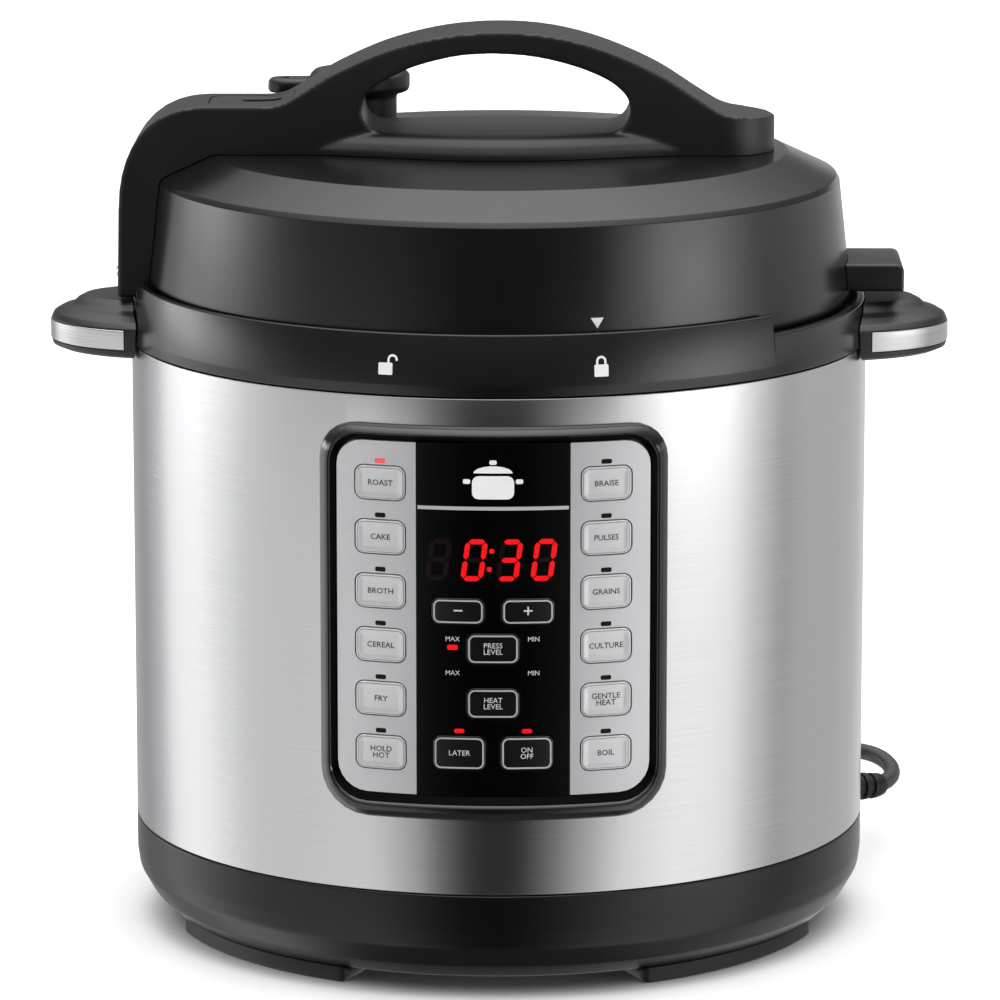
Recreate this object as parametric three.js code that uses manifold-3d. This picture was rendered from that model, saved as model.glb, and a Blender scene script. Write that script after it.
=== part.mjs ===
// Electric pressure cooker of the 6-quart class, as separate solids.
// Millimetres, +Z up, the front is -Y. The origin is where the body's axis meets the
// surface that the cooker stands on. Angles named "bearing" are degrees from the front,
// counter-clockwise seen from above, so +X is at 90.

import * as THREE from 'three';
import { mergeVertices } from 'three/addons/utils/BufferGeometryUtils.js';
import Module from 'manifold-3d';

const wasm = await Module();
wasm.setup();

// ---- driving dimensions ----

const GAP = 0.3;
const RIGHT = 90;
const BACK = 180;

// steel shell and base tray
const BODY_R = 138;
const TRAY_BOTTOM_Z = 6.5;
const TRAY_FLOOR_Z = 9.5;
const SHELL_BOTTOM_Z = 40;
const SHELL_TOP_Z = 222;
const SHELL_WALL = 0.8;

// collar: its top is raised except where the lid's leg and fin swing
const COLLAR_TOP_Z = 244.4;
const COLLAR_LOW_Z = 237.6;
const COLLAR_STEP_BEARING = 47.3;
const COLLAR_END_BEARING = 99.5;

// side handles: ellipses about a centre inside the body
const SIDE_CENTRE_X = 120;
const SIDE_REACH = 48.6;
const SIDE_HALF_WIDTH = 36;
const SIDE_BOTTOM_Z = 217;
const SIDE_TOP_Z = 236.7;
const TRIM_LOW_Z = 220.4;
const TRIM_HIGH_Z = 227.8;
const TRIM_START_X = 139;
const SIDE_STEPS = 36;

// cooking pot, heater and the fixed bayonet ring
const POT_R = 111;
const POT_WALL = 1;
const POT_BOTTOM_Z = 81.8;
const POT_RIM_Z = 242.3;
const POT_RIM_R = 118.8;
const HOUSING_R = 114.2;
const HOUSING_FLOOR_Z = 60;
const LUG_COUNT = 6;
const LUG_HALF_ANGLE = 13;
const RING_LUG_Z = 238;
const RING_TOP_Z = 240.4;
const LID_LUG_Z = 235;

// lid
const LID_WALL_R = 131.7;
const LID_SHOULDER_R = 127.5;
const LID_TOP_R = 107.8;
const LID_BOTTOM_Z = 236.3;
const LID_STRAIGHT_Z = 244;
const LID_SHOULDER_Z = 283.1;
const LID_TOP_Z = 291.8;
const LID_PLASTIC = 2.5;
const PLATE_Z = 246.6;

// lid handle: a bar across the lid, with an arch, a leg and a lens-shaped foot
const BAR_HALF_WIDTH = 20;
const BAR_END_X = 103;
const NOSE_LENGTH = 19;
const LEG_OUTER_X = -142.2;
const LEG_BOTTOM_Z = 238.2;
const ARCH_TOP_Z = 337.7;
const FLAT_TOP_Z = 309.8;
const GRIP_FLOOR_Z = 300.6;
const FOOT_HALF_WIDTH = 36.5;
const FOOT_HALF_LENGTH = 80;
const INSERT_DEPTH = 1.5;

// valves on the lid
const STEAM_X = -53.6;
const STEAM_Y = 45;
const FLOAT_X = -87.5;

// control panel, bent round the body
const PANEL_HALF_WIDTH = 62.3;
const PANEL_LOW_Z = 68;
const PANEL_HIGH_Z = 211.8;
const PANEL_R = 142.6;
const OVERLAY_HALF_WIDTH = 56;
const OVERLAY_LOW_Z = 77.6;
const OVERLAY_HIGH_Z = 206.2;
const OVERLAY_R = 141.4;
const WINDOW_HALF_WIDTH = 27.2;
const KEY_FRONT_R = 141.9;
const KEY_BACK_R = 139.8;
const KEY_CLEARANCE = 0.35;
const PROGRAM_KEY_X = 40.3;
const PROGRAM_KEY_TOP_Z = 191;
const PROGRAM_KEY_PITCH = 19.7;
const PROGRAM_KEY_ROWS = 6;
const PROGRAM_KEY_SIZE = [17.8, 12.15];
const KEY_CORNER = 3;

// condensation cup, hung behind the body
const CUP_HALF_WIDTH = 33;
const CUP_BACK_Y = 147.5;
const CUP_BOTTOM_Z = 160;
const CUP_TOP_Z = 208;
const CUP_WALL = 1.4;

// mains lead
const CORD_R = 3.25;
const CORD_BEARING = 118;
const CORD_EXIT_Z = 27.5;
const RELIEF_LENGTH = 22;
const COIL_X = 35;
const COIL_Y = 202.9;
const COIL_MEAN_R = 38;
const COIL_HALF_WIDTH = 8.4;
const COIL_HEIGHT = 13.2;
const PLUG_TIP_X = -30.3;
const PLUG_Y = 160;
const PLUG_Z = 13.2;

// steps round a circle: outside pieces, pieces inside, bent panels, and small pieces
const ROUND = 48;
const ROUND_INSIDE = 36;
const ROUND_PANEL = 72;
const ROUND_SMALL = 16;
const ROUND_PIN = 12;
const CORNER_STEPS = 3;
const KEY_CORNER_STEPS = 2;
const LUG_STEPS = 3;

// ---- materials ----

const paint = (color, roughness, metalness) =>
  new THREE.MeshStandardMaterial({ color, roughness, metalness });
const BLACK = paint(0x1a1a1b, 0.45, 0);
const GLOSS = paint(0x0a0a0b, 0.12, 0);
const STEEL = paint(0xb8babd, 0.32, 1);
const ALUMINIUM = paint(0xc4c6c8, 0.42, 1);
const SILVER = paint(0xbfbfc6, 0.4, 0.3);
const RUBBER = paint(0x202022, 0.8, 0);
const SILICONE = paint(0xd9d6cf, 0.6, 0);
const BOARD = paint(0x1f5a33, 0.55, 0);
const CLEAR = paint(0xb9c0c4, 0.2, 0);
const RED = paint(0x8c1712, 0.4, 0);

// ---- helpers ----

const radians = THREE.MathUtils.degToRad;

function signedVolume(positions, triangles) {
  const corner = (i) => new THREE.Vector3().fromArray(positions, 3 * triangles[i]);
  let sum = 0;
  for (let i = 0; i < triangles.length; i += 3) {
    sum += corner(i).dot(corner(i + 1).cross(corner(i + 2)));
  }
  return sum;
}

// A closed geometry as a solid for cuts and joins, with its faces pointing out.
function solid(geometry) {
  geometry.deleteAttribute('normal');
  geometry.deleteAttribute('uv');
  const merged = mergeVertices(geometry, 1e-4);
  const index = merged.index.array;
  const triangles = [];
  for (let i = 0; i < index.length; i += 3) {
    const [a, b, c] = index.slice(i, i + 3);
    if (a !== b && b !== c && c !== a) triangles.push(a, b, c);
  }
  const vertProperties = new Float32Array(merged.attributes.position.array);
  if (signedVolume(vertProperties, triangles) < 0) triangles.reverse();
  const triVerts = new Uint32Array(triangles);
  return new wasm.Manifold(new wasm.Mesh({ numProp: 3, vertProperties, triVerts }));
}

function part(name, shape, material) {
  const { vertProperties, triVerts } = shape.getMesh();
  const geometry = new THREE.BufferGeometry();
  geometry.setAttribute('position', new THREE.BufferAttribute(vertProperties, 3));
  geometry.setIndex(new THREE.BufferAttribute(triVerts, 1));
  geometry.computeVertexNormals();
  const mesh = new THREE.Mesh(geometry, material);
  mesh.name = name;
  return mesh;
}

// A profile of [radius, height] pairs turned about +Z; it starts and ends on the axis.
function turnedGeometry(profile, segments = ROUND) {
  const points = profile.map(([r, z]) => new THREE.Vector2(r, z));
  return new THREE.LatheGeometry(points, segments).rotateX(Math.PI / 2);
}

const turned = (profile, segments) => solid(turnedGeometry(profile, segments));

// The same with a profile that closes on itself, away from the axis.
const ring = (profile, segments) => turned([...profile, profile[0]], segments);

const rodProfile = (radius, from, to) => [[0, from], [radius, from], [radius, to], [0, to]];

const band = (inner, outer, low, high, segments = ROUND) =>
  ring([[inner, low], [outer, low], [outer, high], [inner, high]], segments);

function box(x0, x1, y0, y1, z0, z1) {
  const geometry = new THREE.BoxGeometry(x1 - x0, y1 - y0, z1 - z0);
  return solid(geometry.translate((x0 + x1) / 2, (y0 + y1) / 2, (z0 + z1) / 2));
}

function rod(radius, z0, z1, x = 0, y = 0, segments = ROUND_SMALL) {
  const geometry = new THREE.CylinderGeometry(radius, radius, z1 - z0, segments);
  return solid(geometry.rotateX(Math.PI / 2).translate(x, y, (z0 + z1) / 2));
}

function slabGeometry(shape, z0, z1, curveSegments = CORNER_STEPS) {
  const options = { depth: z1 - z0, bevelEnabled: false, curveSegments };
  return new THREE.ExtrudeGeometry(shape, options).translate(0, 0, z0);
}

const slab = (...shapeAndSpan) => solid(slabGeometry(...shapeAndSpan));

// An outline drawn in X and Z, extruded between two Y values.
function frontSlab(shape, y0, y1, curveSegments = CORNER_STEPS) {
  const geometry = slabGeometry(shape, 0, y1 - y0, curveSegments);
  return solid(geometry.rotateX(Math.PI / 2).translate(0, y1, 0));
}

function arcBlock(inner, outer, from, to, z0, z1, curveSegments = 6) {
  const start = radians(from - RIGHT);
  const end = radians(to - RIGHT);
  const shape = new THREE.Shape();
  shape.absarc(0, 0, outer, start, end, false);
  shape.absarc(0, 0, inner, end, start, true);
  return slab(shape, z0, z1, curveSegments);
}

// A rectangle whose two lower and two upper corners have their own radii.
function roundedOutline(x0, x1, low, high, lowRadius, highRadius = lowRadius) {
  const shape = new THREE.Shape();
  shape.moveTo(x0 + lowRadius, low);
  shape.lineTo(x1 - lowRadius, low);
  shape.absarc(x1 - lowRadius, low + lowRadius, lowRadius, -Math.PI / 2, 0, false);
  shape.lineTo(x1, high - highRadius);
  shape.absarc(x1 - highRadius, high - highRadius, highRadius, 0, Math.PI / 2, false);
  shape.lineTo(x0 + highRadius, high);
  shape.absarc(x0 + highRadius, high - highRadius, highRadius, Math.PI / 2, Math.PI, false);
  shape.lineTo(x0, low + lowRadius);
  shape.absarc(x0 + lowRadius, low + lowRadius, lowRadius, Math.PI, 1.5 * Math.PI, false);
  return shape;
}

const joined = (shapes) => shapes.reduce((sum, shape) => sum.add(shape));
const without = (shape, cuts) => cuts.reduce((left, cut) => left.subtract(cut), shape);
const everyLug = (make) => Array.from({ length: LUG_COUNT }, (_, i) => make((i * 360) / LUG_COUNT));

// ---- base ----

function baseTray() {
  const lipTop = SHELL_BOTTOM_Z + 7;
  const outerLip = BODY_R - 1.4;
  const tray = turned([
    [0, TRAY_BOTTOM_Z], [127, TRAY_BOTTOM_Z], [129.4, 9], [132.4, 12], [135.2, 15.5],
    [137.2, 20], [BODY_R, 25.5], [BODY_R, SHELL_BOTTOM_Z - GAP], [outerLip, SHELL_BOTTOM_Z - GAP],
    [outerLip, lipTop], [134.4, lipTop], [134.2, 26.5], [131, 18], [124.5, TRAY_FLOOR_Z],
    [0, TRAY_FLOOR_Z],
  ]);
  return part('base_tray', tray.subtract(alongCordExit(rodProfile(6.7, 120, 150))), BLACK);
}

function feet() {
  const from = 25.5;
  const to = 70;
  const bearings = {
    foot_front_right: [from, to],
    foot_front_left: [-to, -from],
    foot_rear_right: [BACK - to, BACK - from],
    foot_rear_left: [BACK + from, BACK + to],
  };
  return Object.entries(bearings).map(([name, [start, end]]) =>
    part(name, arcBlock(108, 126, start, end, 0, TRAY_BOTTOM_Z - GAP), RUBBER));
}

function outerShell() {
  const wall = band(BODY_R - SHELL_WALL, BODY_R, SHELL_BOTTOM_Z, SHELL_TOP_Z - GAP);
  const windowOutline = roundedOutline(-52, 52, 74, 206, 8);
  return part('outer_shell', wall.subtract(frontSlab(windowOutline, -150, -100)), STEEL);
}

const COLLAR_OUTSIDE = [[138.5, SHELL_TOP_Z + GAP], [138.4, 226], [137.2, 238], [135.8, COLLAR_TOP_Z]];

function collar() {
  const full = ring([
    ...COLLAR_OUTSIDE, [133.7, COLLAR_TOP_Z], [134.4, 229], [126.5, 229], [126.5, 226.5],
    [136.2, 226.5], [136.4, SHELL_TOP_Z + GAP],
  ]);
  const lowered = [0, BACK].map((turn) => arcBlock(
    120, 150, COLLAR_STEP_BEARING + turn, COLLAR_END_BEARING + turn, COLLAR_LOW_Z, 260, 12));
  return part('collar', without(full, lowered), BLACK);
}

// ---- side handles ----

// An elliptical solid about the side handle's centre: its plan narrows towards the plateau.
function sideEllipse(profile, closed = false) {
  const geometry = turnedGeometry(closed ? [...profile, profile[0]] : profile, SIDE_STEPS);
  const position = geometry.attributes.position;
  const rimRatio = SIDE_HALF_WIDTH / SIDE_REACH;
  const plateauRatio = 0.61;
  for (let i = 0; i < position.count; i += 1) {
    const rise = THREE.MathUtils.smoothstep(position.getZ(i), TRIM_HIGH_Z, SIDE_TOP_Z);
    position.setY(i, position.getY(i) * THREE.MathUtils.lerp(rimRatio, plateauRatio, rise));
  }
  return solid(geometry.translate(SIDE_CENTRE_X, 0, 0));
}

function collarClearance() {
  const clear = COLLAR_OUTSIDE.map(([r, z]) => [r + 0.4, z]);
  return turned([[0, 205], [138.9, 205], ...clear, [0, COLLAR_TOP_Z]]);
}

function sideHandle(name) {
  const body = sideEllipse([
    [0, SIDE_BOTTOM_Z], [44.5, SIDE_BOTTOM_Z], [48, 218.4], [SIDE_REACH, 219.8], [SIDE_REACH, 228.4],
    [47.4, 230.4], [44.2, 232.3], [40.4, 233.4], [38.2, 235.4], [35.6, SIDE_TOP_Z], [0, SIDE_TOP_Z],
  ]);
  const grooveEnd = box(TRIM_START_X - GAP, 180, -50, 50, 200, 240);
  const groove = sideEllipse([
    [47.1, TRIM_LOW_Z - GAP], [52, TRIM_LOW_Z - GAP], [52, TRIM_HIGH_Z + GAP],
    [47.1, TRIM_HIGH_Z + GAP],
  ], true).intersect(grooveEnd);
  const gripEnd = box(142, 180, -50, 50, 200, 240);
  const grip = sideEllipse([[0, 210], [40.5, 210], [39.5, 227.5], [0, 227.5]]).intersect(gripEnd);
  return part(name, without(body, [groove, grip, collarClearance()]), BLACK);
}

function sideTrim(name) {
  const strip = sideEllipse([
    [47.4, TRIM_LOW_Z], [48.8, TRIM_LOW_Z], [48.8, TRIM_HIGH_Z], [47.4, TRIM_HIGH_Z],
  ], true);
  return part(name, strip.intersect(box(TRIM_START_X, 180, -50, 50, 200, 240)), STEEL);
}

function sideHandles() {
  const right = new THREE.Group();
  right.add(sideHandle('right_handle'), sideTrim('right_handle_trim'));
  const left = new THREE.Group();
  left.rotation.z = Math.PI;
  left.add(sideHandle('left_handle'), sideTrim('left_handle_trim'));
  return [right, left];
}

// ---- inside the body ----

function innerHousing() {
  const floorTop = HOUSING_FLOOR_Z + 1.2;
  return part('inner_housing', ring([
    [20, HOUSING_FLOOR_Z], [HOUSING_R, HOUSING_FLOOR_Z], [HOUSING_R, 224.6], [132, 224.6],
    [132, 226.1], [113, 226.1], [113, floorTop], [20, floorTop],
  ], ROUND_INSIDE), ALUMINIUM);
}

function lockingRing() {
  const body = ring([
    [114.6, 226.4], [125.6, 226.4], [125.6, 228.2], [118.5, 228.2], [118.5, RING_TOP_Z],
    [114.6, RING_TOP_Z],
  ], ROUND_INSIDE);
  const lugs = everyLug((at) => arcBlock(
    118, 123.6, at - LUG_HALF_ANGLE, at + LUG_HALF_ANGLE, RING_LUG_Z, RING_TOP_Z, LUG_STEPS));
  return part('locking_ring', joined([body, ...lugs]), STEEL);
}

function heaterPlate() {
  const top = POT_BOTTOM_Z - 0.4;
  return part('heater_plate', ring([
    [14, 74], [50, 74], [50, HOUSING_FLOOR_Z + 1.6], [60, HOUSING_FLOOR_Z + 1.6], [60, 74],
    [98, 74], [100, 76], [100, top], [14, top],
  ], ROUND_INSIDE), ALUMINIUM);
}

function thermostatSensor() {
  return part('thermostat_sensor', turned([
    [0, 64], [9, 64], [9, 70], [12.6, 70], [12.6, 80.6], [11.8, POT_BOTTOM_Z - GAP],
    [0, POT_BOTTOM_Z - GAP],
  ], ROUND_SMALL), ALUMINIUM);
}

function powerBoard() {
  const boardLow = 20;
  const boardHigh = 21.6;
  const legs = [-44, 44].flatMap((x) => [-29, 29].map((y) =>
    rod(3, TRAY_FLOOR_Z + GAP, boardLow + 0.5, x, y, ROUND_PIN)));
  const transformer = box(-32, 0, -22, 10, boardHigh - 0.5, 46);
  const relay = box(14, 34, -24, -4, boardHigh - 0.5, 37);
  const capacitor = rod(7, boardHigh - 0.5, 42, 26, 14);
  const board = box(-50, 50, -35, 35, boardLow, boardHigh);
  return part('power_board', joined([board, ...legs, transformer, relay, capacitor]), BOARD);
}

function innerPot() {
  const inside = POT_R - POT_WALL;
  return part('inner_pot', turned([
    [0, POT_BOTTOM_Z], [103, POT_BOTTOM_Z], [108.6, 84.2], [POT_R, 90], [POT_R, 240.7],
    [POT_RIM_R, 240.7], [POT_RIM_R, POT_RIM_Z], [inside, POT_RIM_Z], [inside, 90.4],
    [107.9, 85.2], [102.7, POT_BOTTOM_Z + POT_WALL], [0, POT_BOTTOM_Z + POT_WALL],
  ], ROUND_INSIDE), STEEL);
}

// ---- control panel ----

const bent = (shape, inner, outer, cornerSteps = CORNER_STEPS) =>
  frontSlab(shape, -160, -100, cornerSteps).intersect(band(inner, outer, 40, 240, ROUND_PANEL));

function keyOutline([x, z, width, height], margin = 0) {
  return roundedOutline(
    x - width / 2 - margin, x + width / 2 + margin, z - height / 2 - margin,
    z + height / 2 + margin, KEY_CORNER + margin);
}

function programKeys(side) {
  return Array.from({ length: PROGRAM_KEY_ROWS }, (_, row) =>
    [side * PROGRAM_KEY_X, PROGRAM_KEY_TOP_Z - row * PROGRAM_KEY_PITCH, ...PROGRAM_KEY_SIZE]);
}

const CENTRE_KEYS = {
  key_minus: [-12.5, 145.4, 19, 9.8],
  key_plus: [12.5, 145.4, 19, 9.8],
  key_pressure: [0, 131.8, 19, 11.4],
  key_temperature: [0, 111.8, 19, 11.4],
  key_delay: [-12.1, 93.5, 19, 12.7],
  key_start: [12.1, 93.5, 19, 12.7],
};

function controlBezel() {
  const outline = roundedOutline(
    -PANEL_HALF_WIDTH, PANEL_HALF_WIDTH, PANEL_LOW_Z, PANEL_HIGH_Z, 17, 13);
  const tray = roundedOutline(
    -OVERLAY_HALF_WIDTH - GAP, OVERLAY_HALF_WIDTH + GAP, OVERLAY_LOW_Z - GAP,
    OVERLAY_HIGH_Z + GAP, 11, 9.5);
  const floorTop = KEY_BACK_R - 0.6;
  const displayHole = roundedOutline(-24, 24, 154, 175, 2);
  return part('control_bezel', without(bent(outline, BODY_R + 0.4, PANEL_R), [
    bent(tray, floorTop, PANEL_R + 5), bent(displayHole, BODY_R - 5, PANEL_R + 5),
  ]), GLOSS);
}

function keypadSheet(name, x0, x1, keys, material) {
  const whole = roundedOutline(
    -OVERLAY_HALF_WIDTH, OVERLAY_HALF_WIDTH, OVERLAY_LOW_Z, OVERLAY_HIGH_Z, 10.7, 9.2);
  const sheet = bent(whole, KEY_BACK_R - GAP, OVERLAY_R).intersect(box(x0, x1, -160, -100, 0, 300));
  const cuts = keys.map((key) =>
    frontSlab(keyOutline(key, KEY_CLEARANCE), -160, -100, KEY_CORNER_STEPS));
  return part(name, without(sheet, cuts), material);
}

function keypad() {
  const edge = WINDOW_HALF_WIDTH;
  const left = programKeys(-1);
  const right = programKeys(1);
  const centre = Object.values(CENTRE_KEYS);
  const key = (name, place, material) =>
    part(name, bent(keyOutline(place), KEY_BACK_R, KEY_FRONT_R, KEY_CORNER_STEPS), material);
  return [
    keypadSheet('keypad_left', -60, -edge - GAP, left, SILVER),
    keypadSheet('keypad_right', edge + GAP, 60, right, SILVER),
    keypadSheet('display_window', -edge, edge, centre, GLOSS),
    ...left.map((place, row) => key(`key_left_${row + 1}`, place, SILVER)),
    ...right.map((place, row) => key(`key_right_${row + 1}`, place, SILVER)),
    ...Object.entries(CENTRE_KEYS).map(([name, place]) => key(name, place, GLOSS)),
  ];
}

function displayModule() {
  return part('display_module', box(-25.5, 25.5, -135.6, -118.4, 152, 177), RED);
}

function controlBoard() {
  const board = box(-48, 48, -118, -116.4, 80, 204);
  const posts = [-44, 44].flatMap((x) => [86, 198].map((z) => {
    const post = new THREE.CylinderGeometry(3, 3, 13, ROUND_PIN);
    return solid(post.translate(x, -123.3, z));
  }));
  return part('control_board', joined([board, ...posts]), BOARD);
}

// ---- lid ----

const LID_OUTSIDE = [
  [LID_WALL_R, LID_BOTTOM_Z], [LID_WALL_R - 0.1, LID_STRAIGHT_Z],
  [LID_SHOULDER_R, LID_SHOULDER_Z - 2], [LID_SHOULDER_R - 1.2, LID_SHOULDER_Z],
  [LID_TOP_R, LID_TOP_Z],
];

// Everything the lid fills, grown by a clearance, for cutting what sits on it.
function lidClearance(margin) {
  const grown = LID_OUTSIDE.map(([r, z]) => [r + margin, z + (z > LID_STRAIGHT_Z ? margin : 0)]);
  return turned([[0, 220], [LID_WALL_R + margin, 220], ...grown, [0, LID_TOP_Z + margin]]);
}

const steamBore = (radius) => rod(radius, 200, 320, STEAM_X, STEAM_Y);
const floatBore = (radius) => rod(radius, 200, 320, FLOAT_X, 0);

function lidShell() {
  const inside = [...LID_OUTSIDE].reverse().map(([r, z]) =>
    [r - LID_PLASTIC, z === LID_BOTTOM_Z ? z : z - (z > LID_STRAIGHT_Z ? LID_PLASTIC : 0)]);
  const shell = turned([...LID_OUTSIDE, [0, LID_TOP_Z + 0.2], [0, LID_TOP_Z - LID_PLASTIC], ...inside,
    LID_OUTSIDE[0]]);
  return part('lid_shell', without(shell, [steamBore(5.6), floatBore(3.8)]), BLACK);
}

function lidPlate() {
  const disc = turned([
    [0, PLATE_Z], [110.4, PLATE_Z], [111.4, 248.9], [126.2, 248.9], [126.2, LID_LUG_Z],
    [127.5, LID_LUG_Z], [127.5, 250.2], [110.6, 250.2], [109.6, PLATE_Z + 1.4], [0, PLATE_Z + 1.4],
  ], ROUND_INSIDE);
  const lugs = everyLug((at) => arcBlock(
    120.3, 126.6, at - LUG_HALF_ANGLE, at + LUG_HALF_ANGLE, LID_LUG_Z, LID_LUG_Z + 2.2,
    LUG_STEPS));
  const cut = without(joined([disc, ...lugs]), [steamBore(5.1), floatBore(3.8)]);
  return part('lid_plate', cut, STEEL);
}

function sealingRing() {
  return part('sealing_ring', ring([
    [113, POT_RIM_Z + 0.4], [118.6, POT_RIM_Z + 0.4], [119.4, 243.6], [119.2, 248.5], [112.2, 248.5],
    [112.2, 245],
  ], ROUND_INSIDE), SILICONE);
}

function sealRack() {
  const wire = new THREE.TorusGeometry(110.1, 1.3, 5, ROUND_INSIDE).translate(0, 0, 244.9);
  return part('seal_rack', solid(wire), STEEL);
}

// The bar's side outline, in X and Z; its underside runs inside the lid, which cuts it.
function barOutline(lift = 0) {
  const arch = [
    [-83, 310.2], [-79, 311.5], [-74, 314.3], [-66.5, 319], [-59.2, 323.2], [-44.4, 329.8], [-29.4, 334.3],
    [-14.6, 336.9], [0.4, ARCH_TOP_Z], [15.3, 336.9], [30.2, 334], [45, 329], [60.2, 321.9],
    [75, 312.4], [84, 307.3], [92, 305.9],
  ];
  const shape = new THREE.Shape();
  shape.moveTo(LEG_OUTER_X, LEG_BOTTOM_Z + lift);
  shape.lineTo(LEG_OUTER_X + 0.8, 272 + lift);
  shape.bezierCurveTo(-141.2, 293 + lift, -131, FLAT_TOP_Z + lift, -109, FLAT_TOP_Z + lift);
  shape.lineTo(-88, FLAT_TOP_Z + lift);
  shape.splineThru(arch.map(([x, z]) => new THREE.Vector2(x, z + lift)));
  shape.lineTo(BAR_END_X, 305 + lift);
  shape.lineTo(BAR_END_X, 286 + lift);
  shape.lineTo(-110, 286 + lift);
  shape.lineTo(-122, LEG_BOTTOM_Z + lift);
  return shape;
}

function barSolid(lift) {
  const plan = new THREE.Shape();
  const noseX = BAR_END_X - NOSE_LENGTH;
  plan.moveTo(-160, -BAR_HALF_WIDTH);
  plan.lineTo(noseX, -BAR_HALF_WIDTH);
  plan.absellipse(noseX, 0, NOSE_LENGTH, BAR_HALF_WIDTH, -Math.PI / 2, Math.PI / 2, false, 0);
  plan.lineTo(-160, BAR_HALF_WIDTH);
  const side = frontSlab(barOutline(lift), -BAR_HALF_WIDTH - 5, BAR_HALF_WIDTH + 5, 4);
  return side.intersect(slab(plan, 200, 360, 10));
}

// The finger opening under the arch, in X and Z.
function gripOpening() {
  const roof = [
    [41, 319.8], [30, 324.6], [15, 328.4], [0.4, 329.7], [-14.4, 329], [-29, 325.6], [-37, 322.3],
    [-45, 318],
  ];
  const shape = new THREE.Shape();
  shape.moveTo(-42, GRIP_FLOOR_Z);
  shape.lineTo(41, GRIP_FLOOR_Z);
  shape.bezierCurveTo(48.5, GRIP_FLOOR_Z, 51.5, 310, 46.5, 315.4);
  shape.splineThru(roof.map(([x, z]) => new THREE.Vector2(x, z)));
  shape.bezierCurveTo(-53, 313.5, -53, GRIP_FLOOR_Z, -42, GRIP_FLOOR_Z);
  return frontSlab(shape, -60, 60, 4);
}

// The lens-shaped foot that spreads the bar over the lid, bevelled round its top.
function handleFoot() {
  const steps = 10;
  const bevel = 5;
  const edge = (side) => Array.from({ length: 2 * steps + 1 }, (_, i) => {
    const share = side * (i / steps - 1);
    const spread = Math.cos((share * Math.PI) / 2) ** 2;
    const halfWidth = BAR_HALF_WIDTH - 1 + (FOOT_HALF_WIDTH - BAR_HALF_WIDTH + 1) * spread;
    return new THREE.Vector2(share * FOOT_HALF_LENGTH, -side * (halfWidth - bevel));
  });
  const options = { depth: 10, bevelThickness: 5, bevelSize: bevel, bevelSegments: 2, curveSegments: 1 };
  const shape = new THREE.Shape([...edge(1), ...edge(-1)]);
  const geometry = new THREE.ExtrudeGeometry(shape, options);
  return solid(geometry.translate(0, 0, GRIP_FLOOR_Z - options.depth - options.bevelThickness));
}

// The skin of the bar's top, as deep as asked, over the insert's plan.
function topSkin(depth, margin) {
  const plan = roundedOutline(-108 - margin, -76.5 + margin, -13 - margin, 13 + margin, 6);
  return slab(plan, 290, 340).intersect(barSolid(0)).subtract(barSolid(-depth));
}

function lidHandle() {
  const bar = barSolid(0).subtract(gripOpening());
  const whole = bar.add(handleFoot());
  return part('lid_handle', without(whole, [
    lidClearance(0.4), floatBore(6.5), topSkin(INSERT_DEPTH + GAP, GAP),
  ]), BLACK);
}

function handleInsert() {
  const window = roundedOutline(-96, -80, -3.4, 3.4, 3.3);
  return part('handle_insert', topSkin(INSERT_DEPTH, 0).subtract(slab(window, 290, 340)), BLACK);
}

function legScrew() {
  const length = 1.6;
  const head = new THREE.CylinderGeometry(2.6, 2.6, length, ROUND_SMALL).rotateZ(Math.PI / 2);
  const x = LEG_OUTER_X - GAP - length / 2;
  return part('leg_screw', solid(head.translate(x, 0, 245)), STEEL);
}

function lidFin() {
  const block = frontSlab(
    roundedOutline(120, 151.2, 241, 251.4, 0.8, 3), -BAR_HALF_WIDTH, BAR_HALF_WIDTH);
  return part('lid_fin', block.subtract(lidClearance(0.4)), BLACK);
}

function steamValve() {
  const knob = turned([
    [0, 304.5], [5.4, 304.5], [5.4, 292.6], [14, 292.6], [14, 307.4], [18.2, 308], [19, 309],
    [19, 314.2], [17.2, 316], [0, 316],
  ], 32);
  const lever = new THREE.Shape();
  lever.moveTo(0, -8);
  lever.lineTo(0, 8);
  lever.lineTo(-28.6, 6.4);
  lever.absarc(-28.6, 0, 6.4, Math.PI / 2, 1.5 * Math.PI, false);
  const turnedKnob = part('steam_valve', knob.add(slab(lever, 307, 312.6)), BLACK);
  turnedKnob.position.set(STEAM_X, STEAM_Y, 0);
  return turnedKnob;
}

function valvePipe() {
  const pipe = part('valve_pipe', ring([
    [1.6, 243], [8, 243], [8, 246.2], [4.6, 246.2], [4.6, 303.6], [1.6, 303.6],
  ], 20), STEEL);
  pipe.position.set(STEAM_X, STEAM_Y, 0);
  return pipe;
}

function valveShield() {
  const shield = part('valve_shield', turned([
    [0, 234], [11.6, 234], [13, 235.4], [13, 246.2], [11.8, 246.2], [11.8, 236], [0, 235.4],
  ], ROUND_SMALL), STEEL);
  shield.position.set(STEAM_X, STEAM_Y, 0);
  return shield;
}

function floatValve() {
  const pin = part('float_valve', turned([
    [0, 238.2], [6, 238.2], [6, 240.2], [3, 240.2], [3, 292.4], [4.6, 292.4], [4.6, 301],
    [3.8, 301.6], [0, 301.6],
  ], ROUND_SMALL), RED);
  pin.position.set(FLOAT_X, 0, 0);
  return pin;
}

// ---- condensation cup ----

function cupHolder() {
  const outline = roundedOutline(-30, 30, 164, 213, 4);
  const shell = band(BODY_R + 0.4, BODY_R + 1.8, 150, 220, ROUND_PANEL);
  return part('cup_holder', frontSlab(outline, 100, 160).intersect(shell), BLACK);
}

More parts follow.
